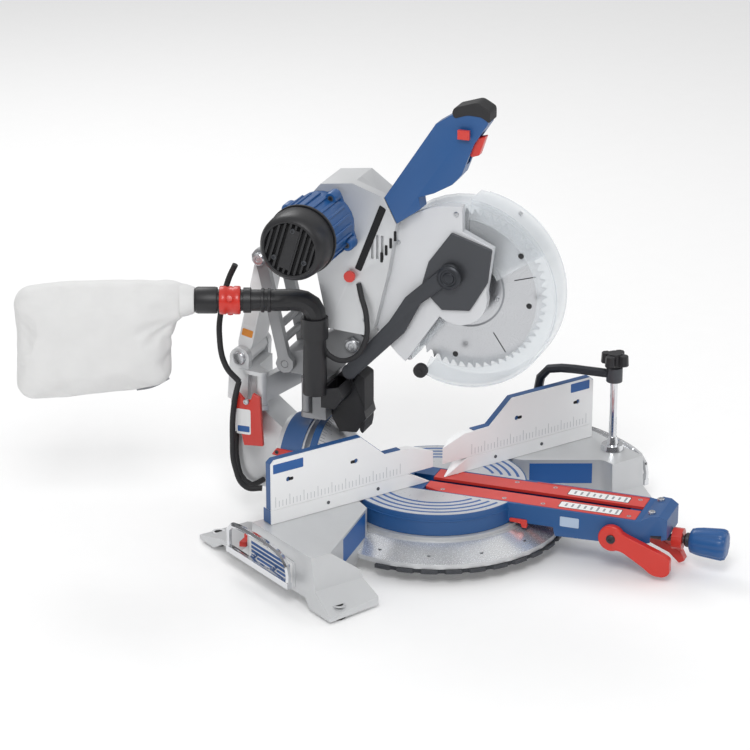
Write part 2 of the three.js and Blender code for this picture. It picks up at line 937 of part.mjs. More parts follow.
// a point of the horizontal pipe, s millimetres from its bend
function pipePoint(s, rise = 0) {
  const a = THREE.MathUtils.degToRad(PIPE_HEAD);
  return new THREE.Vector3(PIPE.x - s * Math.sin(a), PIPE.y + s * Math.cos(a), PIPE.z + rise);
}

// round bar along the horizontal pipe
function pipeBar(r, s0, s1, segments = 16, rEnd = r) {
  const geometry = new THREE.CylinderGeometry(rEnd, r, s1 - s0, segments);
  const middle = pipePoint((s0 + s1) / 2);
  geometry.rotateZ(THREE.MathUtils.degToRad(PIPE_HEAD)).translate(middle.x, middle.y, middle.z);
  return solid(geometry);
}

function dustElbow() {
  const socket = barZ(PIPE.x, PIPE.y, 21, 331, 364, 16);
  const bend = tube(
    [
      [PIPE.x, PIPE.y, 350],
      [PIPE.x, PIPE.y, 372],
      pipePoint(8, -6).toArray(),
      pipePoint(24).toArray(),
      pipePoint(60).toArray(),
    ],
    17,
    8,
    12,
  );
  const pipe = pipeBar(PIPE_RADIUS, 40, 182);
  const bore = join(barZ(PIPE.x, PIPE.y, 14, 330, 368, 12), pipeBar(13, 20, 184, 12));
  return cut(join(socket, bend, pipe), bore);
}

// clip ring that holds the bag's neck on the pipe
function bagRing() {
  return cut(pipeBar(PIPE_RADIUS + 4, 112, 144), pipeBar(PIPE_RADIUS + GAP, 110, 146));
}

function dustBag() {
  const outline = [
    [186, 17],
    [200, 34],
    [232, 34],
    [300, 30],
    [440, 26],
    [462, 14],
    [468, -20],
    [466, -140],
    [452, -164],
    [380, -160],
    [236, -138],
    [222, -128],
    [214, -60],
    [202, -34],
    [186, -17],
  ];
  const shape = new THREE.Shape(outline.map(([s, v]) => new THREE.Vector2(s, v)));
  const geometry = new THREE.ExtrudeGeometry(shape, {
    depth: 2 * (BAG_HALF - BAG_BEVEL),
    bevelEnabled: true,
    bevelThickness: BAG_BEVEL,
    bevelSize: 0,
    bevelOffset: 0,
    bevelSegments: 1,
  });
  const a = THREE.MathUtils.degToRad(PIPE_HEAD);
  const along = new THREE.Vector3(-Math.sin(a), Math.cos(a), 0);
  const up = new THREE.Vector3(0, 0, 1);
  const across = new THREE.Vector3().crossVectors(along, up);
  geometry.translate(0, 0, BAG_BEVEL - BAG_HALF);
  geometry.applyMatrix4(
    new THREE.Matrix4().makeBasis(along, up, across).setPosition(PIPE.x, PIPE.y, PIPE.z),
  );
  return solid(geometry);
}

// ---------- head: swings down about the chop pin ----------
// angle of a point about the arbor, in the y-z plane, measured from the rear and upwards
const aboutArbor = (r, from, to, steps) => arc(ARBOR.y, ARBOR.z, r, from, to, steps);

function headCasting() {
  const top = [
    [182, 540],
    [169, 571],
    [118, 577],
    HANDLE_FOOT[0],
  ];
  const neck = side(
    [
      ...arc(CHOP.y, CHOP.z, 22, 180, 330, 8),
      [150, 341],
      [172, 430],
      ...top.slice(0, 3),
      [84, 552],
      ...aboutArbor(SWING_GUARD_RADIUS + 3, 46, -30, 10),
    ],
    -26,
    25,
  );
  const plate = side(
    [
      [84, 350],
      [100, 338],
      [158, 342],
      [176, 430],
      [200, 470],
      [204, 530],
      ...top.slice(1),
      HANDLE_FOOT[1],
      [62, 440],
    ],
    -60,
    CASE_LEFT - GAP,
  );
  const bridge = side(
    [
      [116, 345],
      [156, 342],
      [172, 430],
      ...top.slice(0, 3),
      [94, 560],
      ...aboutArbor(SWING_GUARD_RADIUS + 5, 40, -22, 8),
    ],
    -42,
    -20,
  );
  const vents = [0, 1, 2].map((i) => box(-61, -54, 68 + 8 * i, 72 + 8 * i, 462, 500));
  return cut(
    join(neck, plate, bridge),
    barX(CHOP.y, CHOP.z, CHOP_PIN + 0.6, -50, 50, 14),
    barX(MOTOR.y, MOTOR.z, 16, -70, -24, 16),
    beltRoom(-39, -27),
    barX(SPINDLE_LOCK.y, SPINDLE_LOCK.z, 6.5, -70, -46, 12),
    ...vents,
  );
}

// straight-sided room around both pulleys and the belt
function beltRoom(x0, x1) {
  const spare = BELT_THICK + 4;
  return side(beltOutline(MOTOR_PULLEY + spare, BLADE_PULLEY + spare), x0, x1);
}

// outline of a belt round the motor pulley (radius r0) and the blade pulley (radius r1)
function beltOutline(r0, r1) {
  const dy = MOTOR.y - ARBOR.y;
  const dz = MOTOR.z - ARBOR.z;
  const line = THREE.MathUtils.radToDeg(Math.atan2(dz, dy));
  const lean = THREE.MathUtils.radToDeg(Math.acos((r1 - r0) / Math.hypot(dy, dz)));
  return [
    ...arc(ARBOR.y, ARBOR.z, r1, line + lean, line + 360 - lean, 14),
    ...arc(MOTOR.y, MOTOR.z, r0, line - lean, line + lean, 6),
  ];
}

function driveBelt() {
  const inner = beltOutline(MOTOR_PULLEY + GAP, BLADE_PULLEY + GAP);
  const outer = beltOutline(MOTOR_PULLEY + GAP + BELT_THICK, BLADE_PULLEY + GAP + BELT_THICK);
  return cut(side(outer, -36.5, -29.5), side(inner, -38, -28));
}

// painted left half of the blade housing; it also covers the belt
function beltCase() {
  const shell = side(
    [
      ...aboutArbor(GUARD_RADIUS - 1, 92, 48, 8),
      ...aboutArbor(SWING_GUARD_RADIUS + 4, 40, -22, 8),
      ...aboutArbor(GUARD_RADIUS - 1, -30, -54, 4),
      ...aboutArbor(46, -50, -195, 9),
      [-98, 492],
      [-50, 514],
    ],
    CASE_LEFT,
    CASE_RIGHT,
  );
  return cut(shell, beltRoom(CASE_LEFT + 2.5, CASE_RIGHT + 1));
}

// fixed shell round the top of the blade
function upperGuard() {
  const outer = side(
    [...aboutArbor(GUARD_RADIUS, -56, 150, 24), ...aboutArbor(24, 170, 282, 5)],
    -21,
    24,
  );
  const room = side(
    [...aboutArbor(GUARD_RADIUS - 4, -56, 150, 24), ...aboutArbor(GUARD_RADIUS, 152, 302, 6)],
    -19,
    22,
  );
  const shell = cut(outer, room);
  const open = barX(ARBOR.y, ARBOR.z, 60, -22, -18, 24);
  const studs = [30, 80].map((angle) => {
    const [[y, z]] = aboutArbor(92, angle, angle, 1);
    return barX(y, z, 8, CASE_RIGHT + GAP, -20, 8);
  });
  const hub = barX(ARBOR.y, ARBOR.z, 14, 23, 28.5, 16);
  return cut(join(cut(shell, open), ...studs, hub), barX(ARBOR.y, ARBOR.z, 11, 20, 30, 12));
}

// dark cover and spring housing on the left of the blade housing
function gearCover() {
  return side(
    [
      [-34, 512],
      [-98, 492],
      [-92, 440],
      [-64, 392],
      [-20, 388],
      [14, 420],
      [2, 462],
    ],
    CASE_LEFT - 5.5,
    CASE_LEFT - GAP,
  );
}

function handle() {
  const outline = [
    [HANDLE_FOOT[0][0] - 0.8, HANDLE_FOOT[0][1] + 0.4],
    [HANDLE_FOOT[1][0] - 0.8, HANDLE_FOOT[1][1] + 0.4],
    [10, 548],
    [13, 566],
    [-11, 575],
    [-39, 591],
    [-54, 608],
    [-72, 656],
    [-93, 688],
    [-96, 702],
    [-79, 714],
    [-44, 702],
    [-13, 682],
  ];
  const body = side(outline, -60, -30);
  const triggerPocket = [
    [-84, 640],
    [-58, 622],
    [-44, 640],
    [-62, 672],
    [-84, 700],
  ];
  return cut(
    body,
    side(triggerPocket, -53, -37),
    box(-61, -29, LOCK_OFF.y - 5, LOCK_OFF.y + 5, LOCK_OFF.z - 5, LOCK_OFF.z + 5),
  );
}

function trigger() {
  return side(
    [
      [-78, 638],
      [-66, 634],
      [-60, 640],
      [-72, 664],
      [-88, 668],
    ],
    -52,
    -38,
  );
}

// bar across the handle with a thumb pad at each side
function lockOff() {
  const { y, z } = LOCK_OFF;
  const pad = (x0, x1) => box(x0, x1, y - 10, y + 8, z - 7, z + 7);
  return join(box(-70, -20, y - 4, y + 4, z - 4, z + 4), pad(-70, -64), pad(-26, -20));
}

function gripPad() {
  return side(
    [
      [-78.6, 714.8],
      [-43.6, 702.9],
      [-12.4, 682.9],
      [-8, 688],
      [-40, 709],
      [-77, 721],
    ],
    -58,
    -32,
  );
}

// ---------- motor ----------
function motorHousing() {
  const body = barX(MOTOR.y, MOTOR.z, MOTOR_RADIUS, MOTOR_SPLIT, MOTOR_FACE, 28);
  const a = THREE.MathUtils.degToRad(70);
  const flange = side(
    chamfered(-44, 44, -44, 44, 10).map(([u, v]) => [
      MOTOR.y + u * Math.cos(a) - v * Math.sin(a),
      MOTOR.z + u * Math.sin(a) + v * Math.cos(a),
    ]),
    MOTOR_FACE - 7,
    MOTOR_FACE,
  );
  return cut(
    join(body, flange),
    barX(MOTOR.y, MOTOR.z, MOTOR_RADIUS - 4.5, MOTOR_SPLIT - 1, MOTOR_FACE - 6, 28),
    barX(MOTOR.y, MOTOR.z, 14, -80, -50, 12),
  );
}

function motorCap() {
  const shell = barX(MOTOR.y, MOTOR.z, MOTOR_RADIUS + 1, MOTOR_SPLIT - 34, MOTOR_SPLIT - GAP, 28);
  const face = barX(MOTOR.y, MOTOR.z, MOTOR_RADIUS - 4, MOTOR_END, MOTOR_SPLIT - 30, 28);
  const room = barX(MOTOR.y, MOTOR.z, MOTOR_RADIUS - 8, MOTOR_END + 5, MOTOR_SPLIT + 1, 28);
  const slots = [-3, -2, -1, 1, 2, 3].map((i) => {
    const y = MOTOR.y + 10 * i;
    return box(MOTOR_END - 1, MOTOR_END + 6, y - 2.5, y + 2.5, MOTOR.z - 24, MOTOR.z + 24);
  });
  return cut(join(shell, face), room, ...slots);
}

function stator() {
  return ringX(MOTOR.y, MOTOR.z, 31, MOTOR_RADIUS - 5.2, -140, -80, 20);
}

// armature, cooling fan and motor pulley on one shaft
function rotor() {
  return join(
    barX(MOTOR.y, MOTOR.z, 5, -190, -28, 8),
    barX(MOTOR.y, MOTOR.z, 29, -138, -82, 16),
    barX(MOTOR.y, MOTOR.z, 40, -74.5, -70, 16),
    barX(MOTOR.y, MOTOR.z, 14, -172, -152, 12),
    barX(MOTOR.y, MOTOR.z, MOTOR_PULLEY, -37, -29, 12),
  );
}

function spindleLock() {
  return join(
    barX(SPINDLE_LOCK.y, SPINDLE_LOCK.z, 6, -66, -51, 12),
    barX(SPINDLE_LOCK.y, SPINDLE_LOCK.z, 9, -70, -65, 12),
  );
}

// ---------- blade ----------
function sawBlade() {
  const points = [];
  const pitch = 360 / TEETH;
  for (let i = 0; i < TEETH; i++) {
    const a = i * pitch;
    points.push(...arc(ARBOR.y, ARBOR.z, BLADE_RADIUS, a, a + 0.35 * pitch, 1));
    points.push(...arc(ARBOR.y, ARBOR.z, BLADE_RADIUS - 9, a + 0.42 * pitch, a + 0.8 * pitch, 1));
  }
  return cut(
    side(points, -BLADE_HALF, BLADE_HALF),
    barX(ARBOR.y, ARBOR.z, BLADE_HOLE, -3, 3, 16),
  );
}

function spindle() {
  const bar = (r, x0, x1, segments = 16) => barX(ARBOR.y, ARBOR.z, r, x0, x1, segments);
  return join(
    bar(BLADE_HOLE - 0.5, -37.6, 6),
    bar(FLANGE_RADIUS, -9, -BLADE_HALF - GAP),
    bar(BLADE_PULLEY, -37, -29, 24),
    bar(12, -29, -8),
  );
}

// outer flange and the bolt that clamps the blade
function arborBolt() {
  const bar = (r, x0, x1, segments = 16) => barX(ARBOR.y, ARBOR.z, r, x0, x1, segments);
  const flange = bar(FLANGE_RADIUS, BLADE_HALF + GAP, 7.5);
  return cut(join(flange, bar(9, 7, 15, 6)), bar(BLADE_HOLE - 0.1, 0, 6.4));
}

// ---------- swinging guard ----------
function swingGuard() {
  const rim = aboutArbor(SWING_GUARD_RADIUS, SWING_FROM, SWING_TO, 24);
  const outer = side([...rim, [ARBOR.y + 3, ARBOR.z - 6]], -24, 27);
  const room = side(
    [
      ...aboutArbor(SWING_GUARD_INNER, SWING_FROM, SWING_TO, 24),
      ...aboutArbor(SWING_GUARD_RADIUS, SWING_TO + 2, SWING_FROM + 358, 5),
    ],
    -22,
    25,
  );
  const leftOpening = barX(ARBOR.y, ARBOR.z, 119, -25, -21, 32);
  const hub = barX(ARBOR.y, ARBOR.z, 24, 25, 27);
  return cut(join(cut(outer, room, leftOpening), hub), barX(ARBOR.y, ARBOR.z, 14.5, 20, 30));
}

function guardRoller() {
  return join(
    barX(ROLLER.y, ROLLER.z, 11, -36, -26.5, 16),
    barX(ROLLER.y, ROLLER.z, 4, -38, -24.4, 8),
  );
}

// cranked arm from the saddle that opens the swinging guard as the head comes down
function guardLink() {
  const x0 = -54;
  const x1 = -OUTER_HALF;
  const arm = side(
    [
      [GUARD_LINK.y - 8, GUARD_LINK.z - 8],
      [GUARD_LINK.y + 6, GUARD_LINK.z + 10],
      [62, 362],
      [36, 404],
      [-26, 462],
      [-42, 440],
      [12, 396],
      [38, 346],
    ],
    x0,
    x1,
  );
  return join(
    arm,
    barX(GUARD_LINK.y, GUARD_LINK.z, 12, x0, x1, 16),
    barX(GUARD_LINK.y, GUARD_LINK.z, 5, x1 - 1, -39, 10),
    barX(-34, 448, 17, x0, x1, 20),
  );
}

// ---------- assembly ----------
function group(...children) {
  const made = new THREE.Group();
  made.add(...children);
  return made;
}

const HANDS = [
  ["left", -1],
  ["right", 1],
];

function base() {
  const pads = [
    ["foot_front_left", -300, -160],
    ["foot_front_right", 290, -136],
    ["foot_rear_left", -300, 160],
    ["foot_rear_right", 300, 160],
  ];
  const made = group(
    piece("base_casting", baseCasting(), cast),
    piece("detent_plate", detentPlate(), dark),
    piece("clamp_post", clampPost(), black),
    piece("clamp_rod", clampRod(), chrome),
    piece("clamp_knob", clampKnob(), black),
    ...pads.map(([name, x, y]) => piece(name, footPad(x, y), rubber)),
  );
  for (const [word, hand] of HANDS) {
    made.add(
      piece(`lower_fence_${word}`, lowerFence(hand), cast),
      piece(`upper_fence_${word}`, upperFence(hand), white),
      piece(`extension_${word}`, extensionFrame(hand), chrome),
      piece(`extension_lock_${word}`, extensionLock(hand), red),
    );
  }
  return made;
}

function table() {
  return group(
    piece("turntable", turntable(), blue),
    piece("kerf_insert_left", kerfInsert(-1), red),
    piece("kerf_insert_right", kerfInsert(1), red),
    piece("pivot_bolt", pivotBolt(), steel),
    piece("bevel_shaft", bevelShaft(), steel),
    piece("mitre_knob", mitreKnob(), blue),
    piece("bevel_range_wheel", bevelRangeWheel(), red),
    piece("detent_lever", detentLever(), red),
    piece("bevel_lever", bevelLever(), red),
  );
}

function linkage() {
  return group(
    piece("tower", tower(), cast),
    piece("tool_holder", toolHolder(), red),
    piece("power_cord", powerCord(), rubber),
    piece("rear_link", rearLink(), white),
    piece("front_link", frontLink(), cast),
    piece("apex_pin", apexPin(), steel),
    piece("rear_leaf", rearLeaf(), cast),
    piece("front_leaf", frontLeaf(), cast),
  );
}

function carriage() {
  return group(
    piece("saddle", saddle(), cast),
    piece("chop_pin", chopPin(), steel),
    piece("guard_link", guardLink(), dark),
    piece("dust_chute", dustChute(), black),
    piece("dust_elbow", dustElbow(), black),
    piece("bag_ring", bagRing(), red),
    piece("dust_bag", dustBag(), cloth),
  );
}

function head() {
  return group(
    piece("head_casting", headCasting(), cast),
    piece("belt_case", beltCase(), grey),
    piece("upper_guard", upperGuard(), clear),
    piece("gear_cover", gearCover(), dark),
    piece("drive_belt", driveBelt(), rubber),
    piece("handle", handle(), blue),
    piece("grip_pad", gripPad(), rubber),
    piece("trigger", trigger(), red),
    piece("lock_off", lockOff(), red),
    piece("spindle_lock", spindleLock(), red),
    piece("motor_housing", motorHousing(), blue),
    piece("motor_cap", motorCap(), black),
    piece("stator", stator(), copper),
    piece("rotor", rotor(), steel),
    piece("saw_blade", sawBlade(), steel),
    piece("spindle", spindle(), steel),
    piece("arbor_bolt", arborBolt(), steel),
    piece("lower_guard", swingGuard(), clear),
    piece("guard_roller", guardRoller(), rubber),
  );
}

const arm = group(table(), linkage(), carriage(), head());
arm.rotation.z = MITRE;
const saw = group(base(), arm);
saw.name = "sliding_miter_saw";
saw.position.set(PIVOT_X, PIVOT_Y, 0);

export default saw;
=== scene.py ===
import json
import math

import bmesh
import bpy
from mathutils import Matrix, Vector
from mathutils.bvhtree import BVHTree

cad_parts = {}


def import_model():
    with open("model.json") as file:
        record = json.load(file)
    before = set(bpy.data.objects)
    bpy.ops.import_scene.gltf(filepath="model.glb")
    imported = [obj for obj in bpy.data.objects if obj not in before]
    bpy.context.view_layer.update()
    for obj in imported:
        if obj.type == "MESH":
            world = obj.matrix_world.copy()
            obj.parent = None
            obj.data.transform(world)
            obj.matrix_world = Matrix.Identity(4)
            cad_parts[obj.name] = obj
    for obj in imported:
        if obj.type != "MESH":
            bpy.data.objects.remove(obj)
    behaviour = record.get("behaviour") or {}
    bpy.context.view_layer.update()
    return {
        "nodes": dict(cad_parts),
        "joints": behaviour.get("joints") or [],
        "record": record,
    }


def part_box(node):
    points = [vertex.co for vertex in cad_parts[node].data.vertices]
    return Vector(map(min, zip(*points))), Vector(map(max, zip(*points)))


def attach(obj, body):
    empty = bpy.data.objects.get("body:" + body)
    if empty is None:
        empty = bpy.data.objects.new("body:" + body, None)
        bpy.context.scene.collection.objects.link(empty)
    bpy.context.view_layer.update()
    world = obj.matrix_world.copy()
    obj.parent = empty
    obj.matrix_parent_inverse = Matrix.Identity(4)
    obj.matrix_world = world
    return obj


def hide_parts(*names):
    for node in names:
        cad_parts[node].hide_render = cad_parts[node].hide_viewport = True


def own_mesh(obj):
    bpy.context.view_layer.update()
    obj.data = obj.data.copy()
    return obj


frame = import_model()
MM = 0.001

# ---------------------------------------------------------------- frames
# The arm frame turns with the control arm: n to the operator's right, y to the rear, z up.
JOINTS = {j["name"]: j for j in frame["joints"]}
ACROSS = Vector(JOINTS["chop"]["axis"]).normalized()
BACK = Vector((-ACROSS.y, ACROSS.x, 0))
ARM = Matrix((ACROSS, BACK, (0, 0, 1))).transposed()
BASE = Matrix.Identity(3)
# Both frames start on the turntable axis at bench level.
PIVOT = Vector(JOINTS["mitre"]["pos_m"]) * Vector((1, 1, 0))


def world(where, point):
    """A point given in millimetres in the arm or base frame, in metres in the scene."""
    return where @ Vector(point) * MM + PIVOT


def local(where, spot):
    """A point of the scene in metres, as millimetres in the arm or base frame."""
    return where.transposed() @ (spot - PIVOT) / MM


def pivot(joint):
    """Where a joint sits, in millimetres in the arm frame."""
    return local(ARM, Vector(JOINTS[joint]["pos_m"]))


ARBOR = pivot("blade_spin")
MOTOR = pivot("motor_spin")
CHOP = pivot("chop")
ELBOW = pivot("elbow_swivel")
TOWER = pivot("glide")
TABLE_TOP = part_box("kerf_insert_left")[1].z / MM
FENCE_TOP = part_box("upper_fence_left")[1].z / MM
FENCE_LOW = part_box("upper_fence_left")[0].z / MM
LEFT = (-1, 0, 0)
RIGHT = (1, 0, 0)
FRONT = (0, -1, 0)
REAR = (0, 1, 0)
TOP = (0, 0, 1)
DOWN = (0, 0, -1)
UP = Vector(TOP)
CLEAR_LEFT = -260  # a start for rays, clear of the saw's left side
SIDES = ((-1, "left"), (1, "right"))


# ---------------------------------------------------------------- materials
FINISHES = {}


def node_tree(name):
    """A new material, kept in FINISHES under its name, with its nodes and its shader."""
    material = FINISHES[name] = bpy.data.materials.new(name)
    material.use_nodes = True
    nodes = material.node_tree.nodes
    return material, nodes, nodes["Principled BSDF"]


def preset(node, **values):
    """Sets a node's properties and inputs by name."""
    for key, value in values.items():
        if hasattr(node, key):
            setattr(node, key, value)
        else:
            node.inputs[key.replace("_", " ").title()].default_value = value
    return node


def add(nodes, kind, **values):
    return preset(nodes.new(kind), **values)


def wire(source, out, target, into):
    """Joins an output of one node to an input of another."""
    source.id_data.links.new(source.outputs[out], target.inputs[into])


def tint(color, factor):
    return tuple(min(1.0, c * factor) for c in color[:3]) + (1.0,)


def finish(name, color, rough, metal=0.0, grain=1400, bump=0.12, vary=0.06,
           wear=0.0, coat=0.0, stretch=(1, 1, 1), worn=(0.75, 0.76, 0.78)):
    """Paint, plastic or metal: cloudy colour, fine grain bump, uneven gloss and worn edges."""
    material, nodes, shader = node_tree(name)
    place = add(nodes, "ShaderNodeTexCoord")
    mapping = add(nodes, "ShaderNodeMapping")
    mapping.inputs["Scale"].default_value = stretch
    wire(place, "Object", mapping, "Vector")
    cloud = add(nodes, "ShaderNodeTexNoise", scale=22.0, detail=3.0)
    fine = add(nodes, "ShaderNodeTexNoise", scale=float(grain), detail=4.0)
    wire(place, "Object", cloud, "Vector")
    wire(mapping, "Vector", fine, "Vector")
    mix = add(nodes, "ShaderNodeMix", data_type="RGBA", a=tint(color, 1 - vary), b=tint(color, 1 + vary))
    wire(cloud, "Fac", mix, "Factor")
    result = (mix, "Result")
    if wear:
        geometry = add(nodes, "ShaderNodeNewGeometry")
        ramp = add(nodes, "ShaderNodeMapRange", from_min=0.52, from_max=0.62, to_max=wear)
        wire(geometry, "Pointiness", ramp, "Value")
        edge = add(nodes, "ShaderNodeMix", data_type="RGBA", b=tint(worn, 1))
        wire(ramp, "Result", edge, "Factor")
        wire(*result, edge, "A")
        result = (edge, "Result")
    wire(*result, shader, "Base Color")
    gloss = add(nodes, "ShaderNodeMapRange", to_min=max(0.03, rough - 0.07), to_max=min(1.0, rough + 0.07))
    wire(fine, "Fac", gloss, "Value")
    wire(gloss, "Result", shader, "Roughness")
    relief = add(nodes, "ShaderNodeBump", strength=bump, distance=0.0004)
    wire(fine, "Fac", relief, "Height")
    wire(relief, "Normal", shader, "Normal")
    preset(shader, metallic=metal, coat_weight=coat, coat_roughness=0.15)
    return material


def cloth_finish(name, color):
    """Woven cloth: crossed threads in the bump, faint creases in the colour, soft sheen."""
    material, nodes, shader = node_tree(name)
    place = add(nodes, "ShaderNodeTexCoord")
    height = None
    for direction in ("X", "Z"):
        wave = add(nodes, "ShaderNodeTexWave", bands_direction=direction, scale=210.0, distortion=0.6)
        wire(place, "Object", wave, "Vector")
        if height is None:
            height = (wave, "Fac")
        else:
            both = add(nodes, "ShaderNodeMath", operation="MAXIMUM")
            wire(*height, both, 0)
            wire(wave, "Fac", both, 1)
            height = (both, "Value")
    cloud = add(nodes, "ShaderNodeTexNoise", scale=30.0, detail=5.0)
    wire(place, "Object", cloud, "Vector")
    mix = add(nodes, "ShaderNodeMix", data_type="RGBA", a=tint(color, 0.93), b=tint(color, 1.04))
    wire(cloud, "Fac", mix, "Factor")
    wire(mix, "Result", shader, "Base Color")
    relief = add(nodes, "ShaderNodeBump", strength=0.25, distance=0.0003)
    wire(*height, relief, "Height")
    wire(relief, "Normal", shader, "Normal")
    preset(shader, roughness=0.9, sheen_weight=0.35)
    return material


def clear_finish(name, color, cover):
    """Clear moulded plastic: mostly see-through, brighter and cloudier towards its edges."""
    material, nodes, shader = node_tree(name)
    preset(shader, base_color=tint(color, 1), roughness=0.12)
    through = add(nodes, "ShaderNodeBsdfTransparent")
    through.inputs["Color"].default_value = (0.97, 0.98, 0.985, 1)
    facing = add(nodes, "ShaderNodeLayerWeight", blend=0.35)
    place = add(nodes, "ShaderNodeTexCoord")
    haze = add(nodes, "ShaderNodeTexNoise", scale=35.0, detail=3.0)
    wire(place, "Object", haze, "Vector")
    cloudy = add(nodes, "ShaderNodeMapRange", to_min=cover * 0.8, to_max=cover * 1.2)
    wire(haze, "Fac", cloudy, "Value")
    total = add(nodes, "ShaderNodeMath", operation="ADD", use_clamp=True)
    scaled = add(nodes, "ShaderNodeMath", operation="MULTIPLY")
    scaled.inputs[1].default_value = 0.6
    wire(facing, "Facing", scaled, 0)
    wire(scaled, "Value", total, 0)
    wire(cloudy, "Result", total, 1)
    blend = add(nodes, "ShaderNodeMixShader")
    wire(total, "Value", blend, "Fac")
    wire(through, "BSDF", blend, 1)
    wire(shader, "BSDF", blend, 2)
    wire(blend, "Shader", nodes["Material Output"], "Surface")
    return material


BLUE = (0.003, 0.078, 0.26)
RED = (0.62, 0.022, 0.010)
finish("blue_shell", BLUE, 0.42, bump=0.10, grain=2200, wear=0.06, coat=0.15)
finish("blue_casting", (0.002, 0.072, 0.24), 0.46, bump=0.16, wear=0.08, coat=0.08)
finish("red_plastic", RED, 0.36, bump=0.08, grain=1800, wear=0.05, coat=0.2)
finish("cast_aluminium", (0.60, 0.61, 0.62), 0.38, metal=0.45, bump=0.30,
       grain=900, vary=0.06, wear=0.30, worn=(0.80, 0.81, 0.82))
finish("machined_white", (0.86, 0.865, 0.87), 0.42, metal=0.0, bump=0.05,
       grain=700, stretch=(0.15, 1, 4), vary=0.02, wear=0.1)
finish("grey_paint", (0.66, 0.67, 0.69), 0.36, metal=0.1, bump=0.08, vary=0.03,
       wear=0.12, coat=0.2)
finish("dark_metal", (0.035, 0.038, 0.045), 0.40, metal=0.5, bump=0.15, wear=0.25,
       worn=(0.35, 0.36, 0.38))
finish("black_plastic", (0.012, 0.012, 0.014), 0.42, bump=0.22, grain=2600,
       wear=0.06, worn=(0.12, 0.12, 0.13))
finish("rubber", (0.02, 0.02, 0.022), 0.66, bump=0.30, grain=1800, vary=0.1)
finish("steel", (0.55, 0.56, 0.58), 0.28, metal=0.95, bump=0.06, grain=500,
       stretch=(1, 1, 9), vary=0.04, wear=0.1)
finish("chrome", (0.72, 0.73, 0.75), 0.12, metal=1.0, bump=0.02, vary=0.03)
clear_finish("clear_plastic", (0.90, 0.92, 0.94), 0.16)
cloth_finish("bag_cloth", (0.77, 0.77, 0.765))
finish("copper", (0.45, 0.16, 0.06), 0.35, metal=0.8, bump=0.3, grain=2500,
       stretch=(1, 1, 12))
# looks that no slot of the record asks for
finish("label_white", (0.82, 0.82, 0.82), 0.45, bump=0.02, vary=0.02)
finish("label_blue", (0.015, 0.10, 0.33), 0.4, bump=0.02, vary=0.03)
finish("label_orange", (0.85, 0.30, 0.03), 0.4, bump=0.02, vary=0.03)
finish("ink_grey", (0.30, 0.31, 0.33), 0.5, bump=0.02, vary=0.03)
finish("ink_soft", (0.46, 0.47, 0.49), 0.5, bump=0.02, vary=0.03)
finish("ink_light", (0.42, 0.52, 0.66), 0.45, bump=0.02, vary=0.03)
finish("shadow", (0.008, 0.008, 0.009), 0.8, bump=0.1, vary=0.1)
finish("machined", (0.66, 0.67, 0.69), 0.30, metal=0.55, bump=0.05, grain=600,
       stretch=(0.2, 1, 1), vary=0.03)
finish("polished", (0.80, 0.81, 0.82), 0.26, metal=0.7, bump=0.03, grain=500,
       stretch=(1, 1, 6), vary=0.03)
# painted shade: a dark grey for the front link, front leaf and saddle, standing for the shadow they sit in
finish("grey_cast_painted_shade", (0.30, 0.305, 0.315), 0.42, metal=0.4, bump=0.3, grain=900,
       vary=0.08, wear=0.25, worn=(0.6, 0.6, 0.62))

# ---------------------------------------------------------------- CAD nodes
EDGE = {  # rounding of the carried-over nodes' edges, in millimetres
    "base_casting": 1.6, "turntable": 1.4, "tower": 2.0, "saddle": 2.0, "head_casting": 2.2,
    "front_link": 2.0, "rear_link": 2.5, "front_leaf": 1.8, "rear_leaf": 1.8, "handle": 5.0,
    "belt_case": 1.4, "gear_cover": 1.6, "guard_link": 1.6, "upper_guard": 0.8, "motor_housing": 2.0,
    "motor_cap": 1.2, "mitre_knob": 1.8, "clamp_knob": 1.6, "bevel_lever": 2.2, "detent_lever": 1.6,
    "dust_chute": 1.2, "lower_guard": 0.5, "grip_pad": 2.4, "tool_holder": 1.4, "trigger": 1.6,
}
THIN = 0.5  # the rounding of every other node
# nodes painted a darker grey than the rest of their slot: painted shade for parts that sit in shadow
# between the linkage arms
LOOKS = {"front_link": "grey_cast_painted_shade", "front_leaf": "grey_cast_painted_shade", "saddle": "grey_cast_painted_shade"}
SUBPARTS = {s["node"]: s["material_slot"] for s in frame["record"]["subparts"]}


def round_edges(obj, width, angle=30, segments=2):
    """Bevels every edge sharper than the angle, keeping flat faces flat."""
    bevel = obj.modifiers.new("edges", "BEVEL")
    bevel.width = width * MM
    bevel.segments = segments
    bevel.limit_method = "ANGLE"
    bevel.angle_limit = math.radians(angle)
    bevel.harden_normals = True
    bevel.use_clamp_overlap = True


def round_shade(mesh):
    mesh.polygons.foreach_set("use_smooth", [True] * len(mesh.polygons))


def polish(node, width):
    """Rounds a CAD node's edges with modifiers; its own mesh stays as packed."""
    obj = frame["nodes"][node]
    mesh = obj.data
    if "custom_normal" in mesh.attributes:
        mesh.attributes.remove(mesh.attributes["custom_normal"])
    round_shade(mesh)
    weld = obj.modifiers.new("weld", "WELD")
    weld.merge_threshold = 0.00001
    flat = obj.modifiers.new("flat", "DECIMATE")
    flat.decimate_type = "DISSOLVE"
    flat.angle_limit = math.radians(0.6)
    round_edges(obj, width)
    mesh.materials.clear()
    mesh.materials.append(FINISHES[LOOKS.get(node, SUBPARTS[node])])


for cad_node in frame["nodes"]:
    polish(cad_node, EDGE.get(cad_node, THIN))


# ---------------------------------------------------------------- shapes
def show(name, data):
    """Puts a mesh, curve, light or camera in the scene."""
    obj = bpy.data.objects.new(name, data)
    bpy.context.scene.collection.objects.link(obj)
    return obj


def mesh_of(name, bm):
    """Turns the working mesh into a mesh block and lets go of it."""
    mesh = bpy.data.meshes.new(name)
    bm.to_mesh(mesh)
    bm.free()
    return mesh


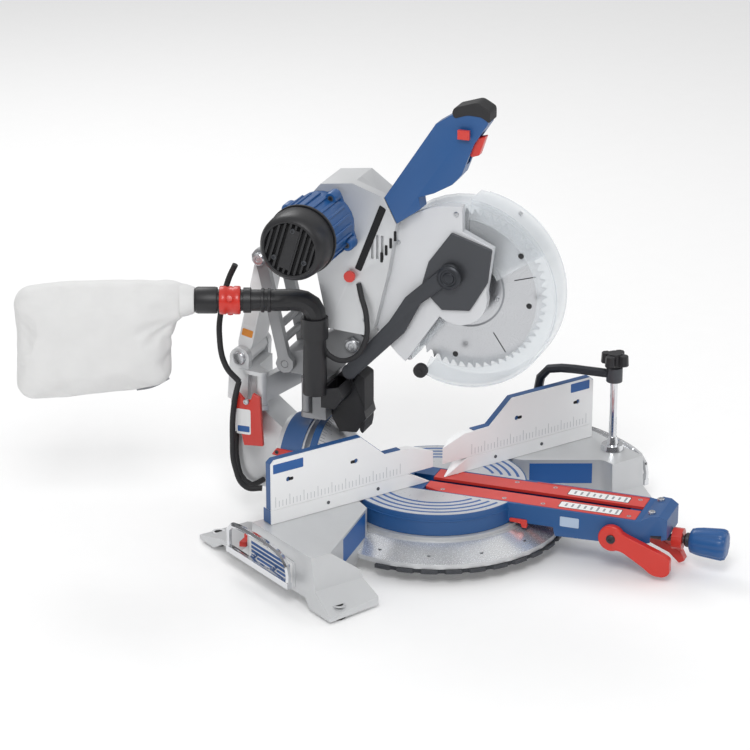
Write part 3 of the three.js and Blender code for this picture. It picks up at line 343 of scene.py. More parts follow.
def arc(cy, cz, radius, start, end, steps):
    """Points of an arc, in degrees."""
    out = []
    for i in range(steps + 1):
        a = math.radians(start + (end - start) * i / steps)
        out.append((cy + radius * math.cos(a), cz + radius * math.sin(a)))
    return out


def soft(points, radius, steps=4):
    """The outline with each corner rounded off."""
    out = []
    count = len(points)
    for i in range(count):
        here = Vector(points[i])
        before = Vector(points[i - 1]) - here
        after = Vector(points[(i + 1) % count]) - here
        reach = min(radius, before.length * 0.45, after.length * 0.45)
        a = here + before.normalized() * reach
        b = here + after.normalized() * reach
        for k in range(steps + 1):
            t = k / steps
            out.append(tuple(a * (1 - t) ** 2 + here * 2 * t * (1 - t) + b * t * t))
    return out


def rect(x0, x1, y0, y1):
    return [(x0, y0), (x1, y0), (x1, y1), (x0, y1)]


def turned(points, centre, degrees):
    a = math.radians(degrees)
    out = []
    for x, y in points:
        dx, dy = x - centre[0], y - centre[1]
        out.append((centre[0] + dx * math.cos(a) - dy * math.sin(a),
                    centre[1] + dx * math.sin(a) + dy * math.cos(a)))
    return out


def spoke(hub, near, far, half, degrees):
    """A bar along a radius of the hub, turned to an angle."""
    return turned(rect(hub.y + near, hub.y + far, hub.z - half, hub.z + half), (hub.y, hub.z), degrees)


def round_hub(hub, degrees, reach):
    """The (y, z) point at an angle and distance from the hub."""
    a = math.radians(degrees)
    return hub.y + reach * math.cos(a), hub.z + reach * math.sin(a)


def lifted(point, axis, height):
    """A 2-D outline point as a 3-D point at a height along the extrusion axis."""
    u, v = point
    return {"n": (height, u, v), "y": (u, height, v), "z": (u, v, height)}[axis]


def add_prism(bm, points, axis, low, high, where=ARM):
    rings = []
    for height in (low, high):
        rings.append([bm.verts.new(world(where, lifted(p, axis, height))) for p in points])
    count = len(points)
    bm.faces.new(rings[0])
    bm.faces.new(list(reversed(rings[1])))
    for i in range(count):
        k = (i + 1) % count
        bm.faces.new((rings[0][i], rings[1][i], rings[1][k], rings[0][k]))


def add_lathe(bm, profile, centre, direction, where=ARM, segments=40, start=0.0, sweep=360.0):
    """Turns (radius, height) points about a line through the centre."""
    direction = Vector(direction).normalized()
    side_a = direction.orthogonal().normalized()
    side_b = direction.cross(side_a)
    closed = sweep >= 359.9
    steps = segments if closed else segments + 1
    rings = []
    for i in range(steps):
        a = math.radians(start + sweep * i / segments)
        ray = side_a * math.cos(a) + side_b * math.sin(a)
        ring = []
        for radius, height in profile:
            if radius < 1e-6 and i:
                ring.append(rings[0][len(ring)])
                continue
            point = Vector(centre) + direction * height + ray * radius
            ring.append(bm.verts.new(world(where, point)))
        rings.append(ring)
    spans = steps if closed else steps - 1
    for i in range(spans):
        a, b = rings[i], rings[(i + 1) % steps]
        for k in range(len(profile)):
            m = (k + 1) % len(profile)
            if m == 0 and profile[0][0] < 1e-6 and profile[-1][0] < 1e-6:
                continue
            corners = []
            for vert in (a[k], b[k], b[m], a[m]):
                if vert not in corners:
                    corners.append(vert)
            if len(corners) > 2:
                bm.faces.new(corners)
    if not closed:
        bm.faces.new(rings[0])
        bm.faces.new(list(reversed(rings[-1])))


def add_tile(bm, where, corners, rise, sink):
    """A thin slab round four points given row by row, from a rise above to a sink below them."""
    top = [bm.verts.new(world(where, c + rise)) for c in corners]
    low = [bm.verts.new(world(where, c - sink)) for c in corners]
    order = (0, 1, 3, 2)
    bm.faces.new([top[k] for k in order])
    bm.faces.new([low[k] for k in reversed(order)])
    for k in range(4):
        p, q = order[k], order[(k + 1) % 4]
        bm.faces.new((top[p], low[p], low[q], top[q]))


def sharpen(mesh, angle):
    """Marks the edges steeper than the angle as sharp."""
    bm = bmesh.new()
    bm.from_mesh(mesh)
    for edge in bm.edges:
        edge.smooth = edge.calc_face_angle(0.0) < math.radians(angle)
    bm.to_mesh(mesh)
    bm.free()


def piece(name, bm, body, slot, look=None, edge=0.0, angle=32, segments=2):
    """Makes the mesh an object that rides on a body and takes its finish from a slot."""
    bmesh.ops.recalc_face_normals(bm, faces=bm.faces)
    mesh = mesh_of(name, bm)
    round_shade(mesh)
    sharpen(mesh, angle)
    obj = show(name, mesh)
    mesh.materials.append(FINISHES[look or slot])
    if edge:
        round_edges(obj, edge, angle, segments)
    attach(obj, body)
    return obj


def prism(name, points, axis, low, high, body, slot, where=ARM, **looks):
    bm = bmesh.new()
    add_prism(bm, points, axis, low, high, where)
    return piece(name, bm, body, slot, **looks)


def lathe(name, profile, centre, direction, body, slot, where=ARM, segments=40, **looks):
    bm = bmesh.new()
    add_lathe(bm, profile, centre, direction, where, segments)
    return piece(name, bm, body, slot, **looks)


def cable(name, points, radius, body, slot, where=ARM, look=None):
    """A round cable through the points."""
    curve = bpy.data.curves.new(name, "CURVE")
    curve.dimensions = "3D"
    curve.bevel_depth = radius * MM
    curve.bevel_resolution = 5
    curve.resolution_u = 10
    curve.use_fill_caps = True
    spline = curve.splines.new("BEZIER")
    spline.bezier_points.add(len(points) - 1)
    for knot, point in zip(spline.bezier_points, points):
        knot.co = world(where, point)
        knot.handle_left_type = knot.handle_right_type = "AUTO"
    curve.materials.append(FINISHES[look or slot])
    obj = show(name, curve)
    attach(obj, body)
    return obj


def screw(name, centre, direction, radius, body, slot="steel"):
    """A round-headed screw with a socket in its head."""
    high = radius * 0.55
    depth = high * 0.5
    profile = [(0, depth), (radius * 0.42, depth), (radius * 0.5, high), (radius * 0.78, high * 0.92),
               (radius, high * 0.35), (radius, -0.6), (0, -0.6)]
    return lathe(name, profile, centre, direction, body, slot, segments=20)


# ---------------------------------------------------------------- surface finder
def surface_tree():
    vertices, faces = [], []
    for obj in frame["nodes"].values():
        offset = len(vertices)
        vertices += [v.co.copy() for v in obj.data.vertices]
        faces += [[i + offset for i in p.vertices] for p in obj.data.polygons]
    return BVHTree.FromPolygons(vertices, faces)


SURFACE = surface_tree()


def touch(start, direction, where=ARM):
    """The first CAD surface met from a start point, in millimetres of the given frame."""
    hit = SURFACE.ray_cast(world(where, start), where @ Vector(direction))[0]
    return local(where, hit)


def left_face(y, z):
    """The leftmost CAD surface at a height and depth of the arm frame."""
    return touch((CLEAR_LEFT, y, z), RIGHT)


# ---------------------------------------------------------------- saw blade
def saw_blade():
    teeth, slot_count = 60, 5
    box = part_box("saw_blade")
    radius = (box[1].z - box[0].z) / MM / 2
    half = 0.9
    pitch = 360 / teeth
    rim = []
    for i in range(teeth):
        a = -i * pitch
        rim += arc(ARBOR.y, ARBOR.z, radius, a, a - pitch * 0.16, 1)
        rim += arc(ARBOR.y, ARBOR.z, radius - 7.5, a - pitch * 0.30, a - pitch * 0.55, 1)
        rim += arc(ARBOR.y, ARBOR.z, radius - 3.0, a - pitch * 0.86, a - pitch * 0.90, 1)
    bm = bmesh.new()
    add_prism(bm, rim, "n", -half, half)
    blade = piece("blade_plate", bm, "blade", "steel", edge=0.15)
    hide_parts("saw_blade")
    tips = bmesh.new()
    for i in range(teeth):
        tip = spoke(ARBOR, radius - 6.0, radius + 0.2, 1.1, -i * pitch - pitch * 0.08)
        add_prism(tips, tip, "n", -1.3, 1.3)
    piece("blade_tips", tips, "blade", "steel")
    slots = bmesh.new()
    for k in range(slot_count):
        for side in (-1, 1):
            line = spoke(ARBOR, radius * 0.62, radius * 0.90, 0.8, 360 // slot_count * k + 20)
            add_prism(slots, line, "n", side * half - 0.1, side * half + 0.1)
    piece("blade_slots", slots, "blade", "steel", look="shadow")
    ring = rect(58, 61, 0, 0.25)
    for side, label in SIDES:
        lathe(f"blade_ring_{label}", ring, (side * half, ARBOR.y, ARBOR.z), (side, 0, 0), "blade",
              "steel", segments=64, look="ink_grey")
        lathe(f"blade_flange_{label}", [(7.6, 0), (24, 0), (24, 2.2), (21, 3.2), (7.6, 3.2)],
              (side * (half + 0.1), ARBOR.y, ARBOR.z), (side, 0, 0), "blade", "steel", segments=48,
              edge=0.4)


saw_blade()


# ---------------------------------------------------------------- head
def head_details():
    for i, (y, z) in enumerate(((-40, 540), (52, 486), (98, 362), (40, 296), (-92, 400))):
        screw(f"case_screw_{i + 1}", left_face(y, z), LEFT, 4.2, "head")
    boss = left_face(-35, 445)
    lathe("spring_boss", [(0, 0), (19, 0), (19, 5), (16, 7), (13, 7), (12, 5.5), (9, 5.5), (8, 7.5),
                          (4, 8.5), (0, 8.5)], boss, LEFT, "head", "dark_metal", edge=0.5)
    # dark seam between the blade housing and the motor casting, with cooling slots beside it
    seam = soft([(74, 548), (64, 542), (104, 440), (114, 444)], 2)
    prism("head_seam", seam, "n", -61.0, -60.0, "head", "black_plastic", look="shadow")
    for i in range(4):
        y, z = 71 - i * 7.2, 466 + i * 12
        slot_shape = soft(rect(y - 2.1, y + 2.1, z - 8, z + 8), 1.6)
        prism(f"head_vent_{i + 1}", slot_shape, "n", -60.9, -60.0, "head", "black_plastic",
              look="shadow")
    pivot_cap = left_face(CHOP.y, CHOP.z)
    lathe("chop_pin_cap", [(0, 0), (11, 0), (11, 3), (9, 5), (5, 5), (4.5, 3.5), (0, 3.5)], pivot_cap,
          LEFT, "saddle_body", "steel", segments=32, edge=0.5)


CAP_LEAN = 17  # degrees the louvres of the motor's end cap lean by
CAP_FACE = -198.4


def motor_details():
    radius, ribs_round = 50, 22
    ribs = bmesh.new()
    for i in range(ribs_round):
        rib = soft(spoke(MOTOR, radius - 1.5, radius + 2.6, 2.0, 360 / ribs_round * i + 8), 1.2, 3)
        add_prism(ribs, rib, "n", -145, -76)
    piece("motor_ribs", ribs, "head", "blue_shell", edge=0.7)
    lathe("motor_band", [(50.2, -145), (53.2, -145), (53.8, -147), (53.8, -150.6), (50.2, -150.6)],
          (0, MOTOR.y, MOTOR.z), RIGHT, "head", "black_plastic", segments=72, edge=0.4)
    # the end cap: a rounded cup with leaning louvres behind its open face
    cup = [(50.8, 0), (51.8, 3), (51.8, 24), (50.6, 38), (47.6, 45), (43.5, 48.4), (40.5, 48.4),
           (39.5, 46.0), (39.5, 40.0), (43.5, 36.0), (46.5, 26.0), (47.0, 0)]
    cap = lathe("motor_end_cap", cup, (-151.0, MOTOR.y, MOTOR.z), LEFT, "head", "black_plastic",
                segments=72, edge=0.5)
    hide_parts("motor_cap")
    mouth, louvre_step = 40.0, 8.6
    louvres = bmesh.new()
    for i in range(-4, 5):
        offset = i * louvre_step
        half = math.sqrt(mouth ** 2 - offset ** 2)
        bar = soft(spoke(MOTOR, offset - 1.9, offset + 1.9, half, CAP_LEAN), 1.0, 2)
        add_prism(louvres, bar, "n", CAP_FACE, CAP_FACE + 5.6)
    add_prism(louvres, spoke(MOTOR, -8, 8, 32, CAP_LEAN), "n", CAP_FACE - 1.0, CAP_FACE + 5.6)
    piece("motor_louvres", louvres, "head", "black_plastic", edge=0.5)
    lathe("motor_grille_back", rect(0, 42, 0, 1.5), (-190.8, MOTOR.y, MOTOR.z),
          LEFT, "head", "black_plastic", segments=48, look="shadow")
    for i, turn in enumerate((100, 220, 330)):
        screw(f"cap_screw_{i + 1}", (-198.0, *round_hub(MOTOR, turn, 29)), LEFT, 4.0, "head",
              "dark_metal")
    # lugs that bolt the housing to the head casting
    for i in range(4):
        y, z = round_hub(MOTOR, 115 + 90 * i, 53)
        lathe(f"flange_lug_{i + 1}", [(0, 0), (9.5, 0), (9.5, 20), (8, 23), (4.5, 23), (4.5, 20), (0, 20)],
              (-67.2, y, z), LEFT, "head", "blue_shell", segments=28, edge=0.6)
        lathe(f"flange_bolt_{i + 1}", [(0, 0), (4.2, 0), (4.2, 2.4), (2.4, 2.4), (2.4, 1), (0, 1)],
              (-87.4, y, z), LEFT, "head", "dark_metal", segments=20)


def handle_details():
    grip = soft([(-97, 690), (-84, 699), (-62, 700), (-42, 693), (-38, 702), (-42, 710), (-77, 721),
                 (-97, 710)], 5)
    wrap = prism("grip_wrap", grip, "n", -61.6, -28.4, "head", "rubber", edge=2.2, segments=3)
    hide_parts("grip_pad")


head_details()
motor_details()
handle_details()


# ---------------------------------------------------------------- dust path
PIPE_TURN = math.radians(20)
PIPE_DIR = Vector((-math.sin(PIPE_TURN), math.cos(PIPE_TURN), 0))
PIPE_Z = 391.0


def pipe_point(s, rise=0.0):
    return Vector((ELBOW.x, ELBOW.y, PIPE_Z + rise)) + PIPE_DIR * s


def dust_path():
    bore = 16.2
    for i, (s, radius, width) in enumerate(((66, 18.6, 5), (76, 18.6, 5), (96, 19.4, 12))):
        lathe(f"pipe_ring_{i + 1}", rect(bore, radius, 0, width),
              pipe_point(s), PIPE_DIR, "elbow", "black_plastic", segments=40, edge=0.9)
    lathe("pipe_collar", [(16.4, 0), (19.8, 0), (20.6, 4), (20.6, 30), (19.0, 34), (16.4, 34)],
          pipe_point(147), PIPE_DIR, "elbow", "black_plastic", segments=48, edge=0.8)
    ring = lathe("clip_ring", [(17.2, 0), (20.8, 0), (21.8, 2), (21.8, 9), (20.6, 11), (20.6, 21),
                               (21.8, 23), (21.8, 30), (20.8, 32), (17.2, 32)],
                 pipe_point(112), PIPE_DIR, "elbow", "red_plastic", segments=56, edge=0.6)
    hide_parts("bag_ring")
    side = PIPE_DIR.cross(UP)
    for i, turn in enumerate((35, 155, 275)):
        a = math.radians(turn)
        out = side * math.cos(a) + UP * math.sin(a)
        lathe(f"ring_boss_{i + 1}", [(0, 0), (5.2, 0), (4.6, 3.2), (0, 3.6)],
              pipe_point(128) + out * 20.2, out, "elbow", "red_plastic", segments=24, edge=0.5)
    # the soft flap in front of the chute's mouth
    flap = soft([(120, 262), (109, 256), (109, 240), (109, 178), (112, 163), (117, 168), (120, 212),
                 (128, 246)], 3)
    hood = prism("chute_flap", flap, "n", -33, 9, "saddle_body", "rubber", edge=1.6)
    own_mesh(hood)


dust_path()


# ---------------------------------------------------------------- dust bag
BAG_OUTLINE = [(186, 16), (198, 26), (214, 31), (300, 33), (380, 31), (446, 25), (460, 10),
               (464, -60), (464, -140), (452, -158), (380, -158), (300, -150), (236, -140),
               (222, -128), (217, -60), (206, -30), (186, -16)]


def bag_shell():
    """A flat pillow along the bag's outline, thick in the middle and thin at its seam."""
    side = PIPE_DIR.cross(UP)
    body_half, neck_half, neck_end, neck_length = 27, 17, 232, 40
    outline = [Vector(p) for p in soft(BAG_OUTLINE, 10, 3)]
    count = len(outline)
    centre = Vector((340, -62))
    rings = []
    for share, thick in ((1.0, 0.10), (0.985, 0.45), (0.93, 0.74), (0.80, 0.93), (0.55, 1.0),
                         (0.25, 1.0)):
        rings.append([(centre + (p - centre) * share, thick) for p in outline])
    bm = bmesh.new()
    seam = {}
    for sign in (1, -1):
        layers = []
        for ring in rings:
            layer = []
            for p, thick in ring:
                near_neck = max(0.0, min(1.0, (neck_end - p.x) / neck_length))
                full = body_half * (1 - near_neck) + neck_half * near_neck
                spot = pipe_point(p.x, p.y) + side * (sign * full * thick)
                layer.append(bm.verts.new(world(ARM, spot)))
            layers.append(layer)
        middle = bm.verts.new(world(ARM, pipe_point(centre.x, centre.y) + side * sign * body_half))
        for a, b in zip(layers, layers[1:]):
            for i in range(count):
                k = (i + 1) % count
                bm.faces.new((a[i], a[k], b[k], b[i]))
        for i in range(count):
            bm.faces.new((layers[-1][i], layers[-1][(i + 1) % count], middle))
        seam[sign] = layers[0]
    for i in range(count):
        k = (i + 1) % count
        bm.faces.new((seam[1][i], seam[1][k], seam[-1][k], seam[-1][i]))
    bmesh.ops.recalc_face_normals(bm, faces=bm.faces)
    return show("dust_bag_cloth", mesh_of("dust_bag_cloth", bm))


def bake(obj):
    """Replaces the mesh by what its modifiers make of it."""
    bpy.context.view_layer.update()
    graph = bpy.context.evaluated_depsgraph_get()
    made = bpy.data.meshes.new_from_object(obj.evaluated_get(graph))
    obj.modifiers.clear()
    obj.data = made


def inflate(obj, frames, pressure, cap, pinned):
    """Swells the cloth in a short simulation; pinned vertices stay, others move by the cap at most."""
    group = obj.vertex_groups.new(name="held")
    group.add([v.index for v in obj.data.vertices if pinned(v.co)], 1.0, "ADD")
    rest = [v.co.copy() for v in obj.data.vertices]
    cloth = obj.modifiers.new("cloth", "CLOTH")
    for key, value in (("quality", 5), ("mass", 0.25), ("use_pressure", True),
                       ("uniform_pressure_force", pressure), ("tension_stiffness", 12),
                       ("compression_stiffness", 12), ("bending_stiffness", 0.3),
                       ("vertex_group_mass", "held")):
        setattr(cloth.settings, key, value)
    cloth.settings.effector_weights.gravity = 0
    cloth.collision_settings.use_collision = False
    cloth.point_cache.frame_start = 1
    cloth.point_cache.frame_end = frames
    scene = bpy.context.scene
    for step in range(1, frames + 1):
        scene.frame_set(step)
    bake(obj)
    for v, start in zip(obj.data.vertices, rest):
        shift = v.co - start
        if shift.length > cap:
            v.co = start + shift * (cap / shift.length)
    scene.frame_set(1)


def dust_bag():
    bag = bag_shell()
    remesh = bag.modifiers.new("even", "REMESH")
    remesh.mode = "VOXEL"
    remesh.voxel_size = 0.005
    bake(bag)
    smooth = bag.modifiers.new("relax", "SMOOTH")
    smooth.iterations = 3
    bake(bag)
    neck = world(ARM, pipe_point(206))
    along = ARM @ PIPE_DIR
    inflate(bag, frames=20, pressure=4.0, cap=0.009, pinned=lambda co: (co - neck).dot(along) < 0)
    wrinkles = bpy.data.textures.new("bag_folds", "CLOUDS")
    wrinkles.noise_scale = 0.06
    wrinkles.noise_depth = 2
    folds = bag.modifiers.new("folds", "DISPLACE")
    folds.texture = wrinkles
    folds.texture_coords = "GLOBAL"
    folds.strength = 0.005
    folds.mid_level = 0.5
    smooth = bag.modifiers.new("relax", "SMOOTH")
    smooth.iterations = 2
    fine = bag.modifiers.new("fine", "SUBSURF")
    fine.levels = fine.render_levels = 1
    bake(bag)
    round_shade(bag.data)
    bag.data.materials.clear()
    bag.data.materials.append(FINISHES["bag_cloth"])
    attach(bag, "elbow")
    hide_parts("dust_bag")
    lathe("bag_cuff", [(16.9, 0), (20.0, 0), (21.0, 2), (24.5, 12), (26, 22), (16.9, 22)],
          pipe_point(182), PIPE_DIR, "elbow", "bag_cloth", segments=48, edge=0.8)
    cable("bag_zip", [tuple(pipe_point(s, v)) for s, v in ((224, -127), (250, -141), (274, -146))],
          1.8, "elbow", "bag_cloth", look="ink_grey")


dust_bag()


# ---------------------------------------------------------------- fences
def fence_rule(side, start, stop):
    """Rule marks along the bottom of a fence face, longer every fourth one."""
    step = 6.35
    low = FENCE_LOW + 3.5
    bm = bmesh.new()
    for i in range(int((stop - start) / step) + 1):
        x = start + i * step
        tall = 17.0 if i % 4 == 0 else 10.0
        add_prism(bm, rect(x - 0.4, x + 0.4, low, low + tall), "y", -0.12, 0.1, BASE)
    piece(f"rule_{side}", bm, f"fence_{side}", "machined_white", look="ink_soft")


def fences():
    fence_rule("left", -300, -66)
    fence_rule("right", 66, 300)
    for side, label in SIDES:
        body = f"fence_{label}"
        outer = local(BASE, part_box(f"upper_fence_{label}")[0 if side < 0 else 1]).x
        near, far, low_z = (4, 58, 172) if side < 0 else (8, 46, 176)
        sticker = rect(*sorted((outer - side * near, outer - side * far)), low_z, low_z + 15)
        prism(f"fence_label_{label}", soft(sticker, 1.5), "y", -0.15, 0.2, body, "blue_shell",
              where=BASE, look="label_blue")
        # elongated adjustment slots across the face
        for i, x in enumerate((outer - side * 36, outer - side * 148)):
            prism(f"fence_slot_{label}_{i + 1}", soft(rect(x - 4, x + 4, 155.5, 160.5), 2), "y",
                  -0.1, 0.25, body, "machined_white", where=BASE, look="shadow")
        # painted back, which shows as a thin line round the white face
        inner, end, low, high = 70, 309, FENCE_LOW + 0.4, FENCE_TOP + 0.9
        skin = [(inner, low), (inner, 157), (100, 157), (144, high), (end - 7, high), (end, 189),
                (end, low)]
        prism(f"fence_back_{label}", [(side * x, z) for x, z in skin], "y", 2.0, 12.8, body,
              "blue_casting", where=BASE, edge=0.4)
        foot = rect(*sorted((side * 296, side * end)), TABLE_TOP + 0.8, FENCE_LOW - 0.6)
        prism(f"fence_foot_{label}", foot, "y", 2.0, 20.4, "base", "blue_casting", where=BASE, edge=0.4)
        for i, x in enumerate((205, 113)):
            lathe(f"fence_bolt_{label}_{i + 1}", rect(0, 2.8, -0.5, 0.5),
                  (side * x, 0, TABLE_TOP + 12), FRONT, "base", "dark_metal", where=BASE, segments=20)
        x = outer - side * 30
        prism(f"fence_rib_{label}", soft(rect(x - 3, x + 3, FENCE_LOW + 18, FENCE_TOP - 12), 2), "y",
              12.5, 18.5, body, "blue_casting", where=BASE, edge=0.8)
        knob_x = outer - side * 60
        lathe(f"fence_lock_{label}", [(0, 0), (12, 0), (12, 5), (9, 8), (5, 14), (0, 15)],
              (knob_x, 18.2, FENCE_LOW + 40), REAR, body, "black_plastic", where=BASE, segments=32,
              edge=0.8)


fences()


# ---------------------------------------------------------------- table and arm
def lock_lever():
    """The long lever that locks the bevel, with its pivot disc and bolt."""
    hub_y, hub_z = -298, 60
    lever = soft([(-302, 78), (-320, 68), (-378, 46), (-391, 39), (-390, 28), (-391, 16), (-382, 9),
                  (-364, 9), (-350, 20), (-314, 42), (-300, 42)], 8)
    shape = bmesh.new()
    add_prism(shape, lever, "n", -60.4, -48.8)
    add_lathe(shape, [(0, -48.6), (19.5, -48.6), (20.5, -50), (20.5, -58.6), (19, -60), (0, -60)],
              (0, hub_y, hub_z), RIGHT)
    lever = piece("bevel_lever_grip", shape, "bevel_lock", "red_plastic", edge=1.6, segments=3)
    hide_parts("bevel_lever")
    lathe("bevel_lever_bolt", [(0, 0), (7, 0), (7, 2.2), (5.5, 3.2), (3, 3.2), (3, 1.6), (0, 1.6)],
          (-59.8, hub_y, hub_z), LEFT, "bevel_lock", "dark_metal", segments=28, edge=0.3)


def mitre_grip():
    """The mitre lock knob: a tapered grip with shallow flutes on its threaded rod."""
    profile = [(0, 0), (15, 0), (18.5, 2), (20.5, 9), (22, 18), (24.2, 44), (24.4, 50), (22.6, 55),
               (18, 57), (8, 57.6), (0, 57.6)]
    centre = Vector((0, -407, 50))
    flutes, flute_depth, core = 8, 1.9, 17
    bm = bmesh.new()
    add_lathe(bm, profile, centre, FRONT, segments=96)
    for vert in bm.verts:
        spot = local(ARM, vert.co) - centre
        reach = math.hypot(spot.x, spot.z)
        if reach < core:
            continue
        angle = math.atan2(spot.z, spot.x)
        run_in = min(1.0, max(0.0, (-spot.y - 6) / 14))
        dip = (0.5 + 0.5 * math.cos(flutes * angle)) ** 4 * flute_depth * run_in
        spot.x *= 1 - dip / reach
        spot.z *= 1 - dip / reach
        vert.co = world(ARM, spot + centre)
    knob = piece("mitre_grip", bm, "mitre_lock", "blue_shell", edge=0.3, angle=50)
    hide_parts("mitre_knob")
    lathe("mitre_rod", rect(0, 5.8, -2, 84), (0, -405, 50), REAR, "mitre_lock",
          "blue_shell", segments=32, look="dark_metal")
    lathe("mitre_collar", [(0, 0), (11, 0), (11, 5), (8, 8), (0, 8)], (0, -406, 50), REAR, "mitre_lock",
          "blue_shell", segments=32, look="dark_metal", edge=0.4)


def table_details():
    top = TABLE_TOP
    radius = 139.5
    # machined top either side of the kerf inserts, with painted arcs let into it
    for side, label in SIDES:
        for name, r, width, low, high, look in (
                ("top", radius - 2.4, None, top - 0.3, top + 0.12, "machined"),
                *((f"arc_{i + 1}", 129 - 12 * i, 4.4, top - 0.2, top + 0.2, "label_blue")
                  for i in range(4))):
            clear = 45 if width is None else 54
            inner = math.degrees(math.asin(clear / r))
            start, stop = (90 + inner, 270 - inner) if side < 0 else (-90 + inner, 90 - inner)
            outline = arc(0, 0, r, start, stop, 64)
            if width:
                outline += arc(0, 0, r - width, stop, start, 64)
            prism(f"table_{name}_{label}", outline, "z", low, high, "table", "blue_casting", look=look)
    lathe("table_rim", [(radius - 1.5, 0), (radius + 0.9, 0.6), (radius + 0.9, 3.4), (radius - 1.5, 4)],
          (0, 0, top - 12), TOP, "table", "blue_casting", segments=120, edge=0.5)
    # one framed panel and screws on each kerf insert
    for side, label in SIDES:
        inner, outer = sorted((side * 15, side * 35))
        prism(f"insert_frame_{label}", soft(rect(inner - 1, outer + 1, -304, -206), 2), "z", top - 0.1,
              top + 0.1, "table", "red_plastic", look="shadow")
        prism(f"insert_panel_{label}", soft(rect(inner, outer, -303, -207), 2), "z", top - 0.1,
              top + 0.18, "table", "red_plastic", look="label_white")
        marks = bmesh.new()
        for i in range(9):
            y = -297 + i * 10
            tall = 5.5 if i % 3 else 8.0
            add_prism(marks, rect(side * 25 - tall, side * 25 + tall, y - 1.6, y + 1.6), "z", top,
                      top + 0.26)
        piece(f"insert_marks_{label}", marks, "table", "red_plastic", look="ink_grey")
        for i, y in enumerate((-20, -120, -182, -318)):
            lathe(f"insert_screw_{label}_{i + 1}", [(0, -1), (3.6, -1), (3.6, 0.1), (2.6, 0.2), (1.4, 0.2),
                                                    (1.2, -0.4), (0, -0.4)],
                  (side * 33, y, top), TOP, "table", "steel", segments=20)
        prism(f"insert_edge_{label}", rect(*sorted((side * 42.4, side * 44.0)), -330, -150), "z",
              top - 0.3, top + 0.5, "table", "red_plastic")
    # bolts in the front of the arm
    for i, n in enumerate((-26, 26)):
        lathe(f"arm_bolt_{i + 1}", [(0, -1), (5.5, -1), (5.5, 2.4), (4.6, 3.2), (2.8, 3.2), (2.6, 1.4),
                                    (0, 1.4)],
              (n, -352, 97.4), TOP, "table", "steel", segments=24, edge=0.2)
    # a small printed panel on the left of the arm; red pointers and a tab at its root
    at = touch((-90, -232, 72), RIGHT)
    prism("arm_panel", soft(rect(-244, -214, 64, 80), 2), "n", at.x - 0.25, at.x + 0.25, "table",
          "blue_casting", look="ink_light")
    for side, label in SIDES:
        prism(f"scale_pointer_{label}", soft(rect(*sorted((side * 24, side * 32)), -200, -160), 2), "z",
              53.2, 56.0, "table", "red_plastic", edge=0.5)
    tab = [(-162, 66), (-134, 66), (-134, 60), (-152, 59), (-154, 52.5), (-162, 52.5)]
    prism("mitre_tab", soft(tab, 2), "n", -50, -44, "table", "red_plastic", edge=0.6)
    lock_lever()
    mitre_grip()


def ring_scale():
    """Degree marks on the sloping face of the base ring, over its polished skin."""
    slope = [(153.2, 50.12), (197.2, 34.57), (197.2, 34.2), (153.2, 49.8)]
    skin = bmesh.new()
    add_lathe(skin, slope, (0, 0, 0), TOP, BASE, segments=72, start=139, sweep=172)
    piece("ring_skin", skin, "base", "cast_aluminium", look="polished")
    marks_each_way, step = 26, 2.5
    bm = bmesh.new()
    for i in range(-marks_each_way, marks_each_way + 1):
        a = math.radians(270 + i * step)
        r_low = 192 - (14 if i % 4 == 0 else 9 if i % 2 == 0 else 6)
        out = Vector((math.cos(a), math.sin(a), 0))
        across = Vector((-math.sin(a), math.cos(a), 0)) * 0.45
        corners = []
        for r in (r_low, 194):
            z = 34 + (198 - r) * 16 / 46 + 0.18
            for sign in (-1, 1):
                corners.append(out * r + across * sign + Vector((0, 0, z)))
        add_tile(bm, BASE, corners, Vector((0, 0, 0)), Vector((0, 0, 0.5)))
    piece("ring_scale", bm, "base", "cast_aluminium", look="ink_grey")


table_details()
ring_scale()


# ---------------------------------------------------------------- base
def wall_panel(name, start, stop, share0, share1, z0, z1):
    """A printed label on an upright wall of the base between two plan points."""
    start, stop = Vector(start), Vector(stop)
    along = stop - start
    out = Vector((along.y, -along.x)).normalized()
    if out.y > 0:
        out = -out
    ends = (start + along * share0, start + along * share1)
    corners = [ends[0] - out * 0.3, ends[1] - out * 0.3, ends[1] + out * 0.35, ends[0] + out * 0.35]
    prism(name, [tuple(c) for c in corners], "z", z0, z1, "base", "cast_aluminium", where=BASE,
          look="label_blue")


